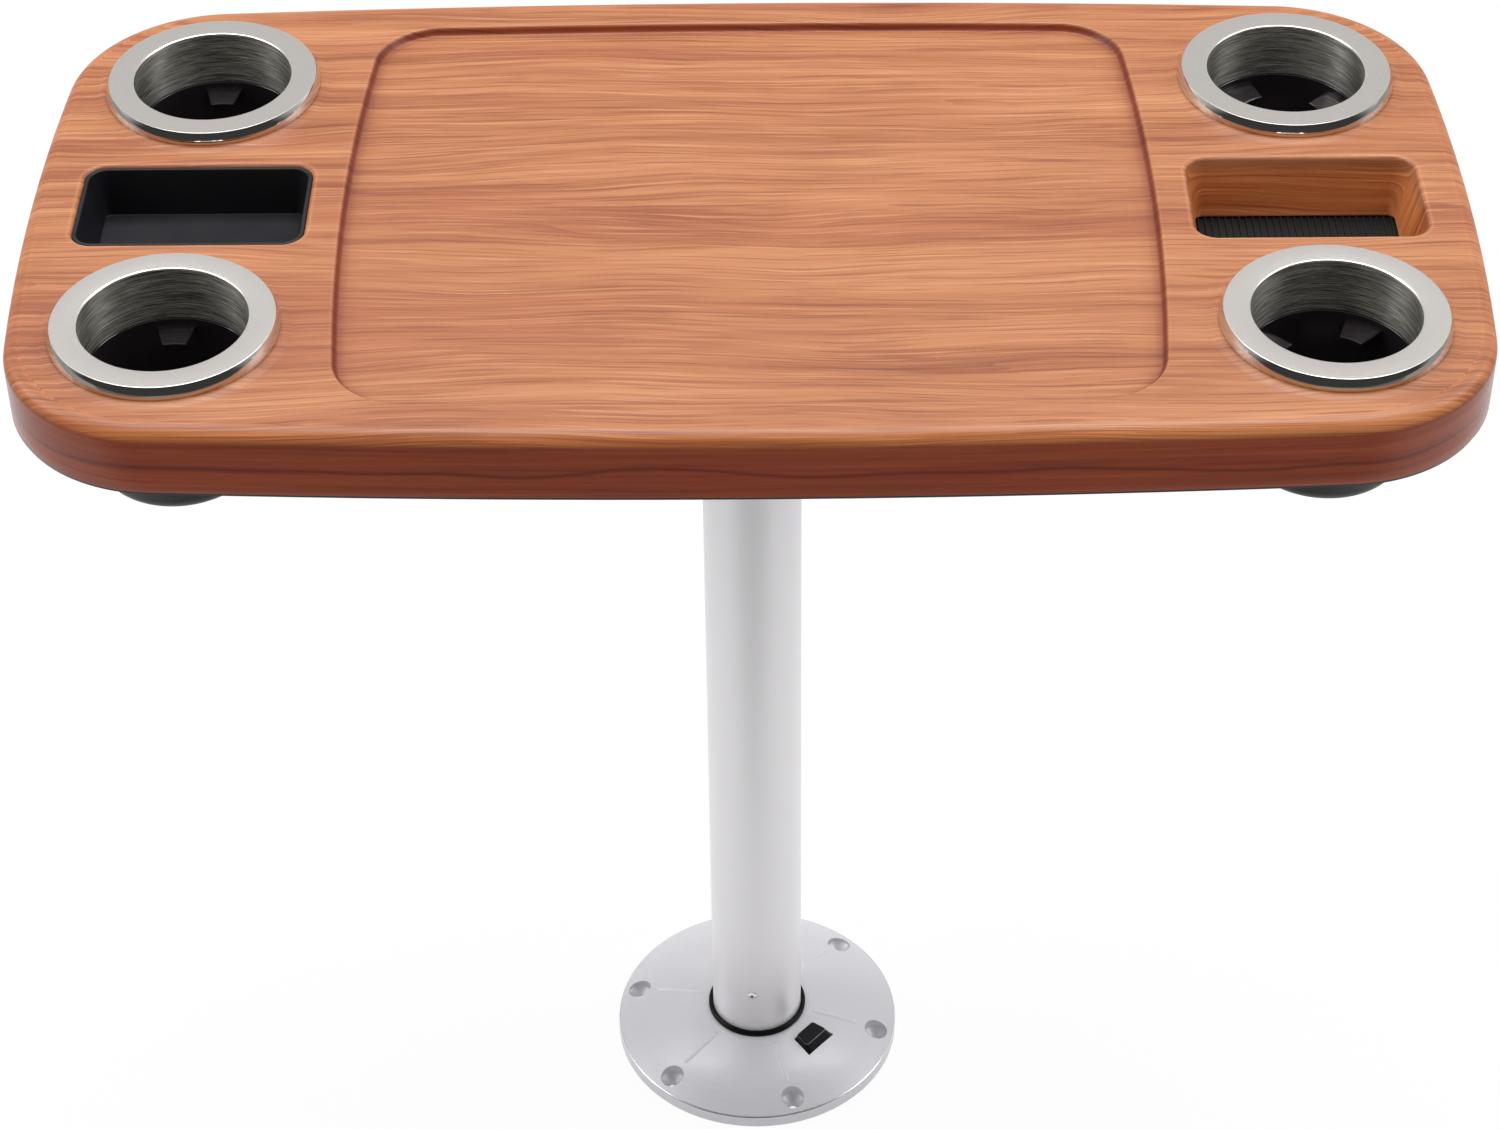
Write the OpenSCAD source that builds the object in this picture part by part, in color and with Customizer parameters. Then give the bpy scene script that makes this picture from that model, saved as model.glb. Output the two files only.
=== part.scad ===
// Single pole camper table: moulded top on a tube that plugs into a floor base with a push-button release.
// Millimetres. The origin is the centre of the base disc on the floor, +Z up, the top's long side along X.

/* [Table top] */
// Length of the top across the middle
top_l = 820; // [760:5:1100]
// Depth of the top across the middle
top_w = 436; // [420:2:600]
// Height of the wooden surface above the floor
top_z = 685.5; // [550:0.5:800]
// Height of the shell's rim
rim_h = 40.5; // [38:0.5:60]
// Radius of the bowed short sides
short_side_r = 1640; // [1200:10:3000]
// Radius of the bowed long sides
long_side_r = 6450; // [5000:50:9000]
// Radius of the top's corners in plan
corner_r = 90; // [60:1:110]
// Rounding of the rim's upper edge
edge_r = 9; // [4:0.5:10]
// Thickness of the moulded sheet
sheet_t = 3.5; // [2.5:0.1:4.5]

/* [Tray recess] */
// Distance from the top's end to the recess
tray_end = 178.5; // [176:0.5:200]
// Distance from the top's long side to the recess
tray_side = 29; // [27:0.5:45]
// Radius of the recess corners
tray_corner_r = 40; // [25:1:60]
// How far the tray lies below the surface
tray_d = 4.5; // [3:0.1:6]

/* [Cup holders] */
// Distance from the top's end to a cup's axis
cup_end = 92.4; // [88:0.2:98]
// Distance from the top's long side to a cup's axis
cup_side = 97.1; // [88:0.1:98]
// Outside diameter of a steel ring
ring_od = 124.3; // [118:0.1:128]
// Inside diameter of a steel ring
ring_id = 92.6; // [80:0.1:96]
// Height of a steel ring above its seat
ring_h = 7.4; // [4:0.1:10]
// Depth of a ring's sleeve below its top
sleeve_d = 33; // [20:1:45]
// Sheet thickness of a steel ring
ring_t = 1; // [0.6:0.1:1.5]
// Wall of a cup well
cup_t = 2.5; // [1.5:0.1:3]
// Depth of a cup well from the wooden surface to its underside
cup_depth = 90; // [70:1:110]
// Height of the raised seat under a ring
seat_h = 1; // [0.6:0.1:2]

/* [Compartments] */
// Distance from the top's end to a compartment's middle
well_end = 94; // [92:0.5:98]
// Length of a compartment's mouth
well_l = 132.4; // [110:0.2:136]
// Depth of a compartment's mouth
well_w = 79; // [60:0.5:90]
// Corner radius of a compartment's mouth
well_corner_r = 13; // [12:0.5:18]
// How far a compartment goes down
well_d = 35.5; // [30:0.5:36]
// Lean of a compartment's walls in degrees
well_draft = 13; // [8:0.5:14]
// Wall of the storage bin
bin_t = 2.6; // [1.5:0.1:3]
// Height of the bin's floor below the wooden surface
bin_floor_d = 28; // [22:0.5:30]
// Distance between two ribs of a compartment floor
rib_pitch = 4; // [3:0.5:8]

/* [Pole] */
// Outside diameter of the tube
pole_od = 60; // [56:0.5:64]
// Wall of the tube
pole_t = 2; // [1.5:0.1:3]
// How deep the tube stands in the base below the floor
pole_foot_d = 50; // [44:1:70]
// Height of the rivet above the floor
rivet_z = 58; // [45:1:80]
// Wall of the reinforcing sleeve
foot_sleeve_t = 3; // [2:0.5:4]

/* [Floor base] */
// Diameter of the base disc
base_od = 190; // [184:1:220]
// Thickness of the disc at its edge
base_edge_h = 9.3; // [8:0.1:10]
// Height of the dome at the socket
base_dome_h = 21; // [20:0.5:24]
// Distance from the disc's edge to a floor screw's axis
screw_edge = 11.5; // [10.5:0.1:14]
// Number of floor screws
screw_count = 6; // [4:1:8]
// Diameter of a floor screw's hole
screw_hole_d = 6; // [4:0.5:7]
// Diameter of a floor screw's countersink
screw_sink_d = 15.4; // [12:0.2:16]
// Direction of the first floor screw in degrees
screw_phase = 46.5; // [40:0.5:50]
// Casting wall
cast_t = 4; // [3:0.5:5]
// Wall of the swivel collar
collar_t = 3; // [2.5:0.1:3.5]

/* [Release] */
// Direction of the release button in degrees
button_dir = -41.5; // [-45:0.5:-35]
// Distance from the pole's axis to the button's inner edge
button_in_r = 42.2; // [42:0.1:44]
// Length of the button along its direction
button_l = 15.6; // [15:0.1:16]
// Width of the button's inner edge
button_in_w = 18.6; // [15:0.1:19]
// Width of the button's outer edge
button_out_w = 24.6; // [20:0.1:26]
// How far the button stands proud of the dome
button_proud = 3.8; // [3:0.1:5]
// Travel of the button
button_travel = 2.5; // [1.5:0.1:2.5]

/* [Fits] */
// Radial clearance of a running fit
run_fit = 0.05; // [0.02:0.01:0.1]
// Clearance of a piece that slides or drops in
slip = 0.3; // [0.2:0.05:0.4]

/* [Hidden] */
$fn = 96;
eps = 0.02;

// Heights that the pieces share
rim_z = top_z - rim_h;
pan_t = 2;
pan_z = rim_z - pan_t;
seat_z = top_z + seat_h;
ring_z = seat_z + ring_h;
tray_z = top_z - tray_d;
tray_l = top_l - 2 * tray_end;
tray_w = top_w - 2 * tray_side;
cup_x = top_l / 2 - cup_end;
cup_y = top_w / 2 - cup_side;
well_x = top_l / 2 - well_end;
board_t = 12;
board_top_z = tray_z - sheet_t;
plateau_z = board_top_z - board_t;
plateau_t = 2.5;
bracket_z = plateau_z - plateau_t;

// Pan, board and bracket under the tray
pan_inset = 1;
board_l = tray_l - 83;
board_w = tray_w - 78;
plateau_l = board_l + 20;
plateau_w = board_w + 10;
plateau_corner_r = 24;
bracket_r = 80;
bracket_t = 6;
bracket_screws_n = 6;
bracket_screw_pcd = 134;
bracket_screw_r = 2.2;
socket_l = 52;
socket_z = bracket_z - bracket_t - socket_l;
socket_top_z = bracket_z - 3;
set_screws_n = 3;
set_screw_r = 3;
set_screw_z = socket_z + 22;
boss_r = 5;
pan_screw_r = 1.75;
pan_screw_head_r = 3.5;
pan_screw_l = 14;
pan_screw_inset = 14;
pan_screw_mid_x = 90;
pole_top_z = socket_top_z - 2.9;

// Radii that the pieces share
pole_r = pole_od / 2;
ring_r = ring_od / 2;
ring_in_r = ring_id / 2;
cup_in_r = ring_in_r + ring_t + slip;
cup_r = cup_in_r + cup_t;
cup_hole_r = cup_r + slip;
seat_r = ring_r + 3;
seat_foot_r = ring_r + 8;
collar_r = pole_r + run_fit + collar_t;
bush_r = pole_r + run_fit + 2.5;
socket_r = bush_r + run_fit + 5;
rivet_r = 2.4;
rivet_dir = -96;

// The base's socket and dome
socket_bore_r = pole_r + 0.4;
barrel_r = collar_r + run_fit + cast_t;
hub_r = barrel_r + 1;
socket_floor_z = -pole_foot_d - 3;
collar_z = 10;
drain_r = 6;
base_edge_r = 1.2;
dome_in_r = 36;
dome_out_r = base_od / 2 - base_edge_r;
screw_at = base_od / 2 - screw_edge;
rib_w = 3;

// The release: plate, shoe, spring and button flange, from the floor up
button_out_r = button_in_r + button_l;
keeper_z = 0.6;
keeper_top_z = 2;
keeper_out_r = 75.5;
keeper_head_r = 2.6;
keeper_screw_r = 1.25;
block_w = 32;
keeper_w = block_w - 2;
shoe_z = keeper_top_z + 0.2;
shoe_t = 4.5;
shoe_w = 16;
shoe_out_r = 61;
flange_z = 9.8;
flange_t = 2;
flange_w = 1.6;
cam_u = 49;
cam_t = 5;
cam_w = 9;
cam_drop = 5;
cam_gap = 0.25;
spring_u = 54.5;
spring_r = 2.6;

// Points of an arc
function arc(cx, cy, r, a0, a1, n) =
    [for (i = [0 : n]) [cx + r * cos(a0 + (a1 - a0) * i / n), cy + r * sin(a0 + (a1 - a0) * i / n)]];

// Centre of the corner arc that runs into a short-side arc and a long-side arc
function corner_at(a, b, ra, rb, rc) =
    let (
        c1 = [a - ra, 0],
        c2 = [0, b - rb],
        gap = norm(c2 - c1),
        dir = (c2 - c1) / gap,
        along = (gap * gap + pow(ra - rc, 2) - pow(rb - rc, 2)) / (2 * gap),
        across = sqrt(pow(ra - rc, 2) - along * along)
    )
    c1 + dir * along + across * [-dir.y, dir.x];

// One quarter of a rounded rectangle with bowed sides
function bowed_quarter(a, b, ra, rb, rc, nc) =
    let (
        c = corner_at(a, b, ra, rb, rc),
        t1 = atan2(c.y, c.x - (a - ra)),
        t2 = atan2(c.y - (b - rb), c.x)
    )
    concat(
        arc(a - ra, 0, ra, 0, t1, 3),
        arc(c.x, c.y, rc, t1, t2, nc),
        arc(0, b - rb, rb, t2, 90, 4));

// Points that follow each other without a repeat
function distinct(p) = [for (i = [0 : len(p) - 1]) if (norm(p[i] - p[(i + 1) % len(p)]) > 0.001) p[i]];

// The other three quarters, mirrored from the first
function four_quarters(q) =
    let (m = len(q) - 1)
    distinct(concat(
        q,
        [for (i = [m : -1 : 0]) [-q[i].x, q[i].y]],
        [for (p = q) [-p.x, -p.y]],
        [for (i = [m : -1 : 0]) [q[i].x, -q[i].y]]));

// Outline of the top, moved in by d
function top_outline(d) =
    four_quarters(bowed_quarter(top_l / 2 - d, top_w / 2 - d, short_side_r - d, long_side_r - d,
        corner_r - d, 9));

// Outline of the tray recess, moved in by d
function tray_outline(d) =
    four_quarters(bowed_quarter(tray_l / 2 - d, tray_w / 2 - d, short_side_r - d, long_side_r - d,
        tray_corner_r - d, 6));

// Outline of a plain rounded rectangle, moved in by d
function plain_outline(l, w, r, d, nc) =
    four_quarters(arc(l / 2 - r, w / 2 - r, r - d, 0, 90, nc));

// A closed skin through outlines of equal length, lowest first
module skin(outlines, heights) {
    n = len(outlines[0]);
    m = len(outlines);
    points = [for (k = [0 : m - 1]) for (p = outlines[k]) [p.x, p.y, heights[k]]];
    sides = [for (k = [0 : m - 2]) for (i = [0 : n - 1])
        [k * n + i, (k + 1) * n + i, (k + 1) * n + (i + 1) % n, k * n + (i + 1) % n]];
    polyhedron(
        points = points,
        faces = concat([[for (i = [0 : n - 1]) i]], sides, [[for (i = [n - 1 : -1 : 0]) (m - 1) * n + i]]));
}

// A slab with one of the outlines above
module slab(outline, z0, z1) {
    translate([0, 0, z0])
        linear_extrude(z1 - z0)
            polygon(outline);
}

// A straight round bar or hole
module rod(r, z0, z1) {
    translate([0, 0, z0])
        cylinder(r = r, h = z1 - z0);
}

// A tube
module pipe(r_out, r_in, z0, z1) {
    difference() {
        rod(r_out, z0, z1);
        rod(r_in, z0 - 1, z1 + 1);
    }
}

// Places the children at the four cup holders
module at_cups() {
    for (x = [-cup_x, cup_x], y = [-cup_y, cup_y])
        translate([x, y, 0])
            children();
}

// Places the children at both compartments
module at_wells() {
    for (x = [-well_x, well_x])
        translate([x, 0, 0])
            children();
}

// Places the children at the screws that hold the pan to the shell: two at the ends, four along each long side
module at_pan_screws() {
    for (s = [-1, 1]) {
        translate([s * (top_l / 2 - pan_screw_inset), 0, 0])
            children();
        for (x = [pan_screw_mid_x, cup_x - cup_hole_r - 15], t = [-1, 1])
            translate([s * x, t * (top_w / 2 - pan_screw_inset - x / 90), 0])
                children();
    }
}

// Places the children on a circle
module around(count, r, phase) {
    for (i = [0 : count - 1])
        rotate([0, 0, phase + i * 360 / count])
            translate([r, 0, 0])
                children();
}

// Profile of a compartment wall: how far in, and how far down
well_round = 3;
function well_in(down) = down < well_round
    ? -2 + 2.9 * sin(90 * down / well_round)
    : 0.9 + (down - well_round) * tan(well_draft);
function well_outline(d) = plain_outline(well_l, well_w, well_corner_r, d, 5);

// The space inside one compartment, from above the surface to below the shell
module well_space() {
    downs = [well_d + 1, well_round, 1.5, 0.5, 0];
    skin([for (s = downs) well_outline(well_in(s))], [for (s = downs) s == 0 ? top_z + 0.1 : top_z - s]);
}

// Slope inside the shell, under its rounded edge
under_slope = max(0.5, (edge_r - sheet_t) * 0.6);

// Step of the tray recess: how far in, and how far down
tray_step = [[3.6, 1], [2.7, 0.92], [1.9, 0.71], [1.0, 0.29], [0.2, 0.08], [-0.6, 0]];

module top_shell() {
    color("peru")
        difference() {
            union() {
                difference() {
                    skin([for (a = [-1, 0, 30, 60, 90]) top_outline(a < 0 ? 0 : edge_r * (1 - cos(a)))],
                        [for (a = [-1, 0, 30, 60, 90]) a < 0 ? rim_z : top_z - edge_r * (1 - sin(a))]);
                    skin([for (in = [0, 0, under_slope]) top_outline(sheet_t + in)],
                        [rim_z - 1, top_z - sheet_t - under_slope, top_z - sheet_t]);
                }
                slab(tray_outline(-sheet_t), board_top_z, top_z - 1);
                at_wells()
                    skin([well_outline(well_in(well_d) - sheet_t), well_outline(well_in(well_round) - sheet_t)],
                        [top_z - well_d, top_z - 1]);
                at_pan_screws()
                    rod(boss_r, rim_z, top_z - sheet_t + eps);
                at_cups()
                    rotate_extrude()
                        polygon([[0, top_z - 1], [seat_foot_r, top_z - 1], [seat_foot_r, top_z],
                            [seat_r, seat_z], [0, seat_z]]);
            }
            skin([for (s = tray_step) tray_outline(s[0])],
                [for (s = tray_step) s[1] == 0 ? top_z + 0.1 : top_z - tray_d * s[1]]);
            at_wells()
                well_space();
            at_cups()
                rod(cup_hole_r, top_z - 10, seat_z + 1);
            at_pan_screws()
                rod(pan_screw_r, rim_z - 1, pan_z + pan_screw_l + 1);
        }
}

// The pan closes the shell from below, with a raised plateau over the bracket
module bottom_pan() {
    lip_t = 2.5;
    lip_h = 7;
    color("#202022")
        difference() {
            union() {
                slab(top_outline(pan_inset), pan_z, rim_z);
                difference() {
                    slab(top_outline(sheet_t + slip), rim_z - eps, rim_z + lip_h);
                    slab(top_outline(sheet_t + slip + lip_t), rim_z - 1, rim_z + lip_h + 1);
                }
                slab(plain_outline(plateau_l, plateau_w, plateau_corner_r, 0, 5), pan_z, plateau_z);
            }
            slab(plain_outline(plateau_l, plateau_w, plateau_corner_r, plateau_t, 5), pan_z - 1, bracket_z);
            at_cups()
                rod(cup_hole_r, pan_z - 1, rim_z + 1);
            at_pan_screws()
                csk_hole(pan_screw_head_r, pan_screw_r + 0.15, pan_z, rim_z + 1);
            around(bracket_screws_n, bracket_screw_pcd / 2, 30)
                rod(bracket_screw_r + 0.2, bracket_z - 1, plateau_z + 1);
        }
}

module pan_screws() {
    color("silver")
        at_pan_screws()
            csk_screw(pan_screw_head_r, pan_screw_r, pan_z, pan_z + pan_screw_l);
}

module core_board() {
    color("burlywood")
        difference() {
            slab(plain_outline(board_l, board_w, 10, 0, 4), plateau_z, board_top_z);
            around(bracket_screws_n, bracket_screw_pcd / 2, 30)
                rod(bracket_screw_r + run_fit, plateau_z - 1, board_top_z - 1);
        }
}

// A pressed ring: sleeve, flat flange and outer skirt in one sheet
module cup_ring() {
    nose = 1.2;
    edge = 1.8;
    color("lightgray")
        rotate_extrude()
            polygon(concat(
                [[ring_in_r, ring_z - sleeve_d]],
                arc(ring_in_r + nose, ring_z - nose, nose, 180, 90, 5),
                arc(ring_r - edge, ring_z - edge, edge, 90, 0, 6),
                [[ring_r, seat_z], [ring_r - ring_t, seat_z]],
                arc(ring_r - edge, ring_z - edge, edge - ring_t, 0, 90, 4),
                arc(ring_in_r + nose, ring_z - nose, nose - ring_t, 90, 180, 3),
                [[ring_in_r + ring_t, ring_z - sleeve_d]]));
}

// A cup well hangs from its flange on the seat, with a step under the ring's sleeve
module cup_well() {
    step_z = ring_z - sleeve_d - slip;
    low_in_r = ring_in_r - 0.8;
    base_z = top_z - cup_depth;
    base_in_r = low_in_r - 2.5;
    bend = 8;
    flange_r = ring_r - ring_t - 1;
    color("#141416")
        rotate_extrude()
            polygon(concat(
                [[0, base_z]],
                arc(base_in_r + cup_t - bend, base_z + bend, bend, -90, 0, 6),
                [[cup_r, step_z - 4], [cup_r, seat_z], [flange_r, seat_z], [flange_r, seat_z + 2.2],
                    [cup_in_r, seat_z + 2.2], [cup_in_r, step_z], [low_in_r, step_z]],
                arc(base_in_r - bend + cup_t, base_z + bend, bend - cup_t, 0, -90, 5),
                [[0, base_z + cup_t]]));
}

// Puts a cup piece at one corner of the top
module at_corner(side, row) {
    translate([side * cup_x, row * cup_y, 0])
        children();
}

// The loose bin in the left compartment: up its outside, over its lip and down its inside
module storage_bin() {
    lip_d = 1;
    under_d = bin_floor_d + bin_t;
    function bin_in(down) = well_in(well_round) + (down - well_round) * tan(well_draft) + slip;
    downs = [under_d, lip_d, lip_d, bin_floor_d];
    walls = [0, 0, bin_t, bin_t];
    color("#26262a")
        translate([-well_x, 0, 0])
            skin([for (i = [0 : 3]) well_outline(bin_in(downs[i]) + walls[i])], [for (s = downs) top_z - s]);
}

// The ribbed floor under a compartment lies on the pan
module well_floor() {
    floor_t = 2.2;
    rib_t = 1.6;
    rib_top = top_z - well_d - slip;
    outline = well_outline(well_in(well_d) - sheet_t - 0.5);
    reach = floor(well_l / 2 / rib_pitch) * rib_pitch;
    color("#1c1c1e") {
        slab(outline, rim_z, rim_z + floor_t);
        intersection() {
            slab(outline, rim_z + 1, rib_top);
            for (x = [-reach : rib_pitch : reach])
                translate([x - rib_t / 2, -well_w / 2, rim_z])
                    cube([rib_t, well_w, well_d]);
        }
    }
}

// The bracket: screw flange under the pan with a blind socket for the pole
module table_bracket() {
    color("dimgray")
        difference() {
            rotate_extrude()
                polygon([[0, bracket_z], [bracket_r, bracket_z], [bracket_r, bracket_z - 4],
                    [bracket_r - 2, bracket_z - bracket_t], [socket_r + 9, bracket_z - bracket_t],
                    [socket_r, bracket_z - bracket_t - 12], [socket_r, socket_z], [0, socket_z]]);
            rod(bush_r + run_fit, socket_z - 1, socket_top_z);
            around(bracket_screws_n, bracket_screw_pcd / 2, 30)
                rod(bracket_screw_r + 0.2, bracket_z - bracket_t - 1, bracket_z + 1);
            around(set_screws_n, 0, 90)
                translate([0, 0, set_screw_z])
                    rotate([0, 90, 0])
                        cylinder(r = set_screw_r + run_fit, h = socket_r + 5);
        }
}

module bracket_bush() {
    color("#2a2a2c")
        difference() {
            pipe(bush_r, pole_r + run_fit, socket_z, socket_top_z);
            around(set_screws_n, 0, 90)
                translate([0, 0, set_screw_z])
                    rotate([0, 90, 0])
                        cylinder(r = set_screw_r + run_fit, h = socket_r + 5);
        }
}

module bracket_screws() {
    head_z = bracket_z - bracket_t;
    color("silver")
        around(bracket_screws_n, bracket_screw_pcd / 2, 30)
            difference() {
                rotate_extrude()
                    polygon([[0, head_z - 2.6], [2.4, head_z - 2.6], [4.2, head_z - 1.2], [4.2, head_z],
                        [bracket_screw_r, head_z], [bracket_screw_r, board_top_z - 3], [0, board_top_z - 1.5]]);
                drive_cross(3.6, head_z - 2.6, 1.4);
            }
}

module bracket_set_screws() {
    key_r = 1.7;
    key_d = 2.5;
    screw_l = socket_r + 3 - pole_r - run_fit;
    color("gray")
        around(set_screws_n, pole_r + run_fit, 90)
            translate([0, 0, set_screw_z])
                rotate([0, 90, 0])
                    difference() {
                        cylinder(r = set_screw_r, h = screw_l);
                        translate([0, 0, screw_l - key_d])
                            cylinder(r = key_r, h = key_d + 1, $fn = 6);
                    }
}

module pole_tube() {
    color("gainsboro")
        difference() {
            pipe(pole_r, pole_r - pole_t, -pole_foot_d, pole_top_z);
            rivet_holes();
        }
}

module pole_top_plug() {
    cap_t = 2.5;
    color("#2a2a2c") {
        rod(pole_r - 0.2, pole_top_z, pole_top_z + cap_t);
        rod(pole_r - pole_t - run_fit, pole_top_z - 10, pole_top_z + eps);
    }
}

// A tube inside the pole's foot, where the load is greatest
module foot_sleeve() {
    r_out = pole_r - pole_t - run_fit;
    color("darkgray")
        difference() {
            pipe(r_out, r_out - foot_sleeve_t, -pole_foot_d, rivet_z + 20);
            rivet_holes();
        }
}

// Two blind rivets, opposite each other, hold the sleeve in the tube
module at_rivets() {
    for (a = [rivet_dir, rivet_dir + 180])
        rotate([0, 0, a])
            translate([0, 0, rivet_z])
                rotate([0, 90, 0])
                    children();
}

module rivet_holes() {
    at_rivets()
        cylinder(r = rivet_r + run_fit, h = pole_od);
}

module sleeve_rivets() {
    tail_r = 3.1;
    tail_x = pole_r - pole_t - run_fit - foot_sleeve_t;
    color("whitesmoke")
        at_rivets()
            difference() {
                rotate_extrude()
                    polygon([[0, tail_x - 2], [tail_r - 1, tail_x - 2], [tail_r, tail_x - 1],
                        [rivet_r, tail_x - 0.4], [rivet_r, pole_r], [3.4, pole_r], [3.1, pole_r + 0.4],
                        [1.8, pole_r + 0.8], [0, pole_r + 0.9]]);
                translate([0, 0, pole_r - 0.6])
                    cylinder(r = 0.9, h = 2);
            }
}

module foot_cap() {
    cap_r = pole_r - pole_t - run_fit - foot_sleeve_t - run_fit;
    color("#2a2a2c")
        difference() {
            union() {
                rod(pole_r - 0.2, socket_floor_z, -pole_foot_d);
                rod(cap_r, -pole_foot_d - eps, -pole_foot_d + 10);
            }
            rod(drain_r, socket_floor_z - 1, -pole_foot_d + 11);
        }
}

// The collar turns in the base with the pole, and the pole slides in it
module swivel_collar() {
    lip = 3;
    color("#17181a")
        rotate_extrude()
            polygon(concat(
                [[pole_r + run_fit, collar_z], [collar_r, collar_z]],
                arc(collar_r - 1.6, base_dome_h + lip - 1.6, 1.6, 0, 90, 5),
                [[pole_r + run_fit, base_dome_h + lip - 0.6]]));
}

// Height of the dome at a distance from the axis: it falls faster towards the edge
function dome(r) = base_dome_h - (base_dome_h - base_edge_h) *
    (pow(r, 3) - pow(dome_in_r, 3)) / (pow(dome_out_r, 3) - pow(dome_in_r, 3));

// A solid drawn in side view along the button's direction, w wide
module across_button(points, w) {
    rotate([0, 0, button_dir])
        rotate([90, 0, 0])
            translate([0, 0, -w / 2])
                linear_extrude(w)
                    polygon(points);
}

// A box along the button's direction, w wide
module button_box(u0, u1, w, z0, z1) {
    across_button([[u0, z0], [u1, z0], [u1, z1], [u0, z1]], w);
}

// The button's outline, moved out by d
function button_plan(d) = [[button_in_r - d, -button_in_w / 2 - d], [button_out_r + d, -button_out_w / 2 - d],
    [button_out_r + d, button_out_w / 2 + d], [button_in_r - d, button_in_w / 2 + d]];

module floor_base() {
    rim_w = 8;
    under_r = base_od / 2 - rim_w;
    boss = screw_sink_d / 2 + 2.3;
    cone_z = 4;
    sink_z = 8.2;
    block_out = keeper_out_r + 0.5;
    block_side = norm([block_out, block_w / 2]);
    color("silver")
        difference() {
            union() {
                rotate_extrude()
                    polygon(concat(
                        [[drain_r, socket_floor_z - cast_t], [barrel_r - 3, socket_floor_z - cast_t],
                            [barrel_r, socket_floor_z - cast_t + 3], [barrel_r, 0], [hub_r, 0],
                            [hub_r, dome(hub_r) - cast_t],
                            [under_r, dome(under_r) - cast_t], [under_r + 0.5, 0], [base_od / 2 - 0.5, 0],
                            [base_od / 2, 0.5]],
                        arc(dome_out_r, base_edge_h - base_edge_r, base_edge_r, 0, 72, 4),
                        [for (i = [1 : 12])
                            let (r = dome_out_r + (dome_in_r - dome_out_r) * i / 12)
                            [r, dome(r)]],
                        [[collar_r + run_fit, base_dome_h],
                            [collar_r + run_fit, collar_z], [socket_bore_r, collar_z],
                            [socket_bore_r, socket_floor_z], [drain_r, socket_floor_z]]));
                intersection() {
                    around(screw_count, screw_at, screw_phase)
                        rod(boss, 0, base_dome_h);
                    rotate_extrude()
                        polygon([[hub_r, 0], [dome_out_r, 0], [dome_out_r, base_edge_h - 1],
                            [hub_r, dome(hub_r) - 1]]);
                }
                for (i = [0 : screw_count - 1])
                    rotate([90, 0, screw_phase + i * 360 / screw_count])
                        translate([0, 0, -rib_w / 2])
                            linear_extrude(rib_w)
                                polygon([[hub_r - 1, 1], [under_r + 1, 1], [under_r + 1, dome(under_r) - 2],
                                    [hub_r - 1, dome(hub_r) - 2]]);
                across_button([[hub_r - 1, keeper_top_z], [block_out, keeper_top_z],
                    [block_out, dome(block_side) - 1], [hub_r - 1, dome(norm([hub_r, block_w / 2])) - 1]],
                    block_w);
            }
            around(screw_count, screw_at, screw_phase)
                rotate_extrude()
                    polygon([[0, -1], [screw_hole_d / 2, -1], [screw_hole_d / 2, cone_z],
                        [screw_sink_d / 2, sink_z], [screw_sink_d / 2, base_dome_h], [0, base_dome_h]]);
            // the seat of the keeper plate
            button_box(hub_r + 1 - slip, keeper_out_r + slip, keeper_w + 2 * slip, -1, keeper_top_z);
            // the pocket of the button's flange, its mouth and the channel of the shoe
            button_box(button_in_r - flange_w - slip, button_out_r + flange_w + slip,
                button_out_w + 2 * flange_w + 2 * slip, keeper_top_z - 1, flange_z + flange_t + 0.15);
            rotate([0, 0, button_dir])
                slab(button_plan(slip), flange_z, base_dome_h + 1);
            button_box(pole_r - 1, shoe_out_r + button_travel + 1, shoe_w + 2 * slip, keeper_top_z - 1,
                shoe_z + shoe_t + slip);
            rod(socket_bore_r, socket_floor_z, collar_z);
            rotate([0, 0, button_dir])
                at_keeper_screws()
                    rod(keeper_screw_r + run_fit, keeper_top_z - 1, 9);
        }
}

// The button: bevelled key, flange that keeps it in, and a slanted cam that moves the shoe
module release_button() {
    slope = (dome(button_out_r) - dome(button_in_r)) / button_l;
    function key_z(u, h) = dome(button_in_r) + slope * (u - button_in_r) + h;
    function ring_at(plan, h) = [for (p = plan) [p.x, p.y, key_z(p.x, h)]];
    low = [for (p = button_plan(0)) [p.x, p.y, flange_z + flange_t]];
    mid = ring_at(button_plan(0), 0.4);
    top_in_r = button_in_r + 1.2;
    top_in_y = button_in_w / 2 - 0.5;
    top_out_r = button_out_r - 4.3;
    top_out_y = button_out_w / 2 - 1.6;
    top = ring_at([[top_in_r, -top_in_y], [top_out_r, -top_out_y], [top_out_r, top_out_y], [top_in_r, top_in_y]],
        button_proud);
    sides = [for (k = [0, 4], i = [0 : 3])
        [k + i, k + i + 4, k + (i + 1) % 4 + 4, k + (i + 1) % 4]];
    color("#101012")
        union() {
            rotate([0, 0, button_dir]) {
                polyhedron(
                    points = concat(low, mid, top),
                    faces = concat([[0, 1, 2, 3], [11, 10, 9, 8]], sides));
                slab(button_plan(flange_w), flange_z, flange_z + flange_t + eps);
            }
            across_button([[cam_u - cam_t, flange_z + 1], [cam_u - cam_t, flange_z],
                [cam_u - cam_t - cam_drop, flange_z - cam_drop], [cam_u - cam_drop, flange_z - cam_drop],
                [cam_u, flange_z], [cam_u, flange_z + 1]], cam_w);
        }
}

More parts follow.
